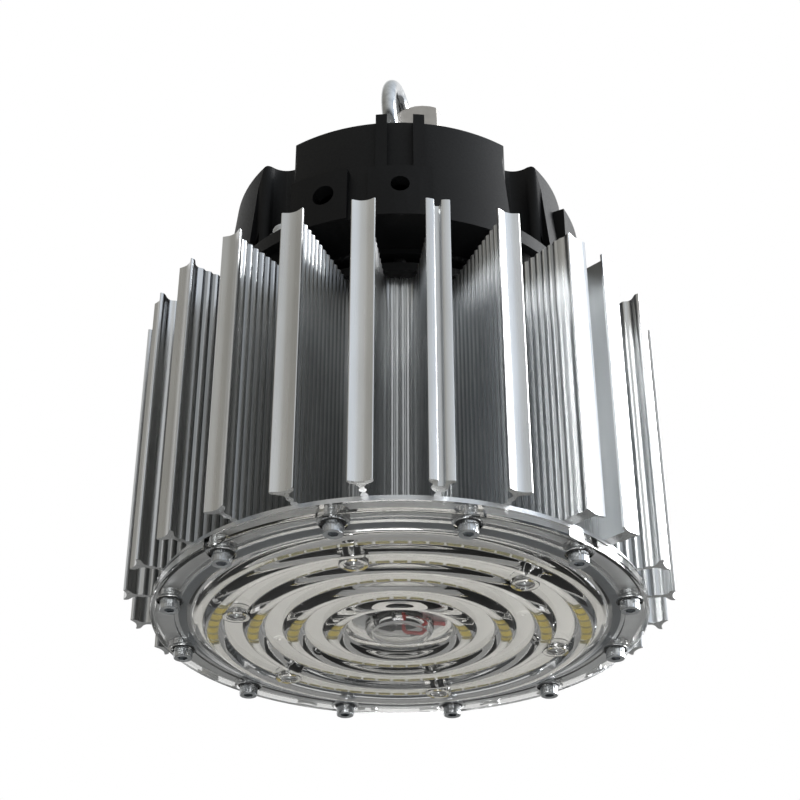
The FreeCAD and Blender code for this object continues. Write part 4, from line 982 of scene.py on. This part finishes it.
# %% True normals for the tapered drum
def drum_normals(obj, low_r=87.3, high_r=81.3, low_z=162.3, high_z=222.3, reach_mm=0.25):
    """Corners on the drum's cone point straight out of the cone, and the others keep what the
    weighted shading gave them."""
    graph = bpy.context.evaluated_depsgraph_get()
    mesh = bpy.data.meshes.new_from_object(obj.evaluated_get(graph))
    obj.modifiers.clear()
    obj.data = mesh
    lean = math.atan2(low_r - high_r, high_z - low_z)

    def straight_out(point):
        out = Vector((point.x, point.y, 0)).normalized()
        return Vector((out.x * math.cos(lean), out.y * math.cos(lean), math.sin(lean)))

    def on_cone(point):
        radius = low_r + (high_r - low_r) * (point.z - low_z) / (high_z - low_z)
        return abs(math.hypot(point.x, point.y) - radius) < reach_mm

    normals = [corner.vector.copy() for corner in mesh.corner_normals]
    mended = 0
    for face in mesh.polygons:
        points = [mesh.vertices[i].co / MM for i in face.vertices]
        if face.normal.dot(straight_out(face.center / MM)) >= 0.985 and all(map(on_cone, points)):
            for loop, point in zip(face.loop_indices, points):
                normals[loop] = straight_out(point)
            mended += 1
    mesh.normals_split_custom_set(normals)
    return mended


print("drum facets with true normals:", drum_normals(bpy.data.objects["driver_housing_finished"]))

# %% [markdown]
# ## Studio
# The lamp hangs high above a pale floor, with white behind it. What metal and glass mirror is a
# sweep of light that is dim on the left and bright on the right, so that the metal shows its form.
# Surfaces that scatter light get only a dim fill from the world. One large soft lamp stands to the
# right, and a weak one lies low in front for the underside.


# %% World
def studio_world():
    """White for the camera and for the rear of the room, a sweep from left to right for mirrors,
    and a dim fill for surfaces that scatter light."""
    world = bpy.data.worlds.new("studio")
    world.use_nodes = True
    tree = world.node_tree
    tree.nodes.clear()
    rays = add_node(tree, "ShaderNodeLightPath")
    place = add_node(tree, "ShaderNodeTexCoord").outputs["Generated"]
    split = add_node(tree, "ShaderNodeSeparateXYZ", Vector=place)
    sweep = add_node(tree, "ShaderNodeMapRange", i0=split.outputs["X"], i1=-0.9, i2=0.9, i3=0.0, i4=1.0)
    level = add_node(tree, "ShaderNodeMapRange", i0=sweep.outputs[0], i1=0.0, i2=1.0, i3=0.32, i4=1.15)
    above = add_node(tree, "ShaderNodeMapRange", i0=split.outputs["Z"], i1=-0.12, i2=0.1, i3=0.1, i4=1.0)
    lit = add_node(tree, "ShaderNodeMath", {"operation": "MULTIPLY"}, i0=level.outputs[0],
                   i1=above.outputs[0])
    hue = add_node(tree, "ShaderNodeMix", {"data_type": "RGBA"}, Factor=sweep.outputs[0])
    hue.inputs["A"].default_value = linear("#FFFBF0")
    hue.inputs["B"].default_value = linear("#E8F2FF")
    around = add_node(tree, "ShaderNodeBackground", Color=hue.outputs["Result"], Strength=lit.outputs[0])
    white = add_node(tree, "ShaderNodeBackground", Color=(1, 1, 1, 1), Strength=1.0)
    fill = add_node(tree, "ShaderNodeBackground", Color=(1, 1, 1, 1), Strength=0.26)
    behind = add_node(tree, "ShaderNodeMapRange", i0=split.outputs["Y"], i1=0.25, i2=0.6, i3=0.0, i4=1.0)
    high = add_node(tree, "ShaderNodeMath", {"operation": "MULTIPLY"}, i0=behind.outputs[0],
                    i1=above.outputs[0])
    mirrored = add_node(tree, "ShaderNodeMixShader", i0=high.outputs[0], i1=around.outputs[0],
                        i2=white.outputs[0])
    sees = add_node(tree, "ShaderNodeMath", {"operation": "MAXIMUM"}, i0=rays.outputs["Is Glossy Ray"],
                    i1=rays.outputs["Is Transmission Ray"])
    soft = add_node(tree, "ShaderNodeMixShader", i0=sees.outputs[0], i1=fill.outputs[0],
                    i2=mirrored.outputs[0])
    mixed = add_node(tree, "ShaderNodeMixShader", i0=rays.outputs["Is Camera Ray"], i1=soft.outputs[0],
                     i2=white.outputs[0])
    output = add_node(tree, "ShaderNodeOutputWorld")
    tree.links.new(mixed.outputs[0], output.inputs["Surface"])
    return world


bpy.context.scene.world = studio_world()
print("world nodes:", len(bpy.context.scene.world.node_tree.nodes))


# %% Floor and lamps
def pale_floor(span=6.0, height=-1.2):
    """Large square well below the lamp."""
    mesh = bpy.data.meshes.new("floor")
    corners = [(x * span, y * span, height) for x, y in ((-1, -1), (1, -1), (1, 1), (-1, 1))]
    mesh.from_pydata(corners, [], [(0, 1, 2, 3)])
    floor = bpy.data.objects.new("studio_floor", mesh)
    bpy.context.scene.collection.objects.link(floor)
    mesh.materials.append(moulded("pale_studio_floor", "#E6E6E4", "#EDEDEB", (0.6, 0.7), 40.0))


def soft_lamp(name, place, aim, size_m, power, spread_deg=90.0):
    """Rectangular lamp in metres and watts that faces its aim."""
    light = bpy.data.lights.new(name, "AREA")
    light.shape = "RECTANGLE"
    light.size, light.size_y = size_m
    light.energy = power
    light.spread = math.radians(spread_deg)
    lamp = bpy.data.objects.new(name, light)
    lamp.location = place
    lamp.rotation_mode = "QUATERNION"
    lamp.rotation_quaternion = (Vector(aim) - Vector(place)).to_track_quat("-Z", "Y")
    bpy.context.scene.collection.objects.link(lamp)


pale_floor()
soft_lamp("right_softbox", (1.3, 0.1, 0.5), (0, 0, 0.12), (0.8, 1.1), 14)
soft_lamp("low_front_fill", (-0.1, -0.9, -0.95), (0, 0, 0), (0.7, 0.7), 2.6)

# %% Camera
# It stands below the lamp and in front, and looks up at it through a short telephoto lens.
camera_data = bpy.data.cameras.new("camera")
camera_data.sensor_width = 36.0
camera_data.lens = 72.89415
camera = bpy.data.objects.new("camera", camera_data)
camera.location = (-0.003378, -0.654267, -0.280569)
pitch, yaw, roll = math.radians(31.50), math.radians(0.321), math.radians(-0.086)
camera.matrix_world = (Matrix.Translation(camera.location) @ Matrix.Rotation(-yaw, 4, "Z")
                       @ Matrix.Rotation(math.pi / 2 + pitch, 4, "X") @ Matrix.Rotation(roll, 4, "Z"))
bpy.context.scene.collection.objects.link(camera)
bpy.context.scene.camera = camera
bpy.context.scene.view_settings.view_transform = "Standard"
print("camera looks up by", round(math.degrees(pitch), 1), "degrees")
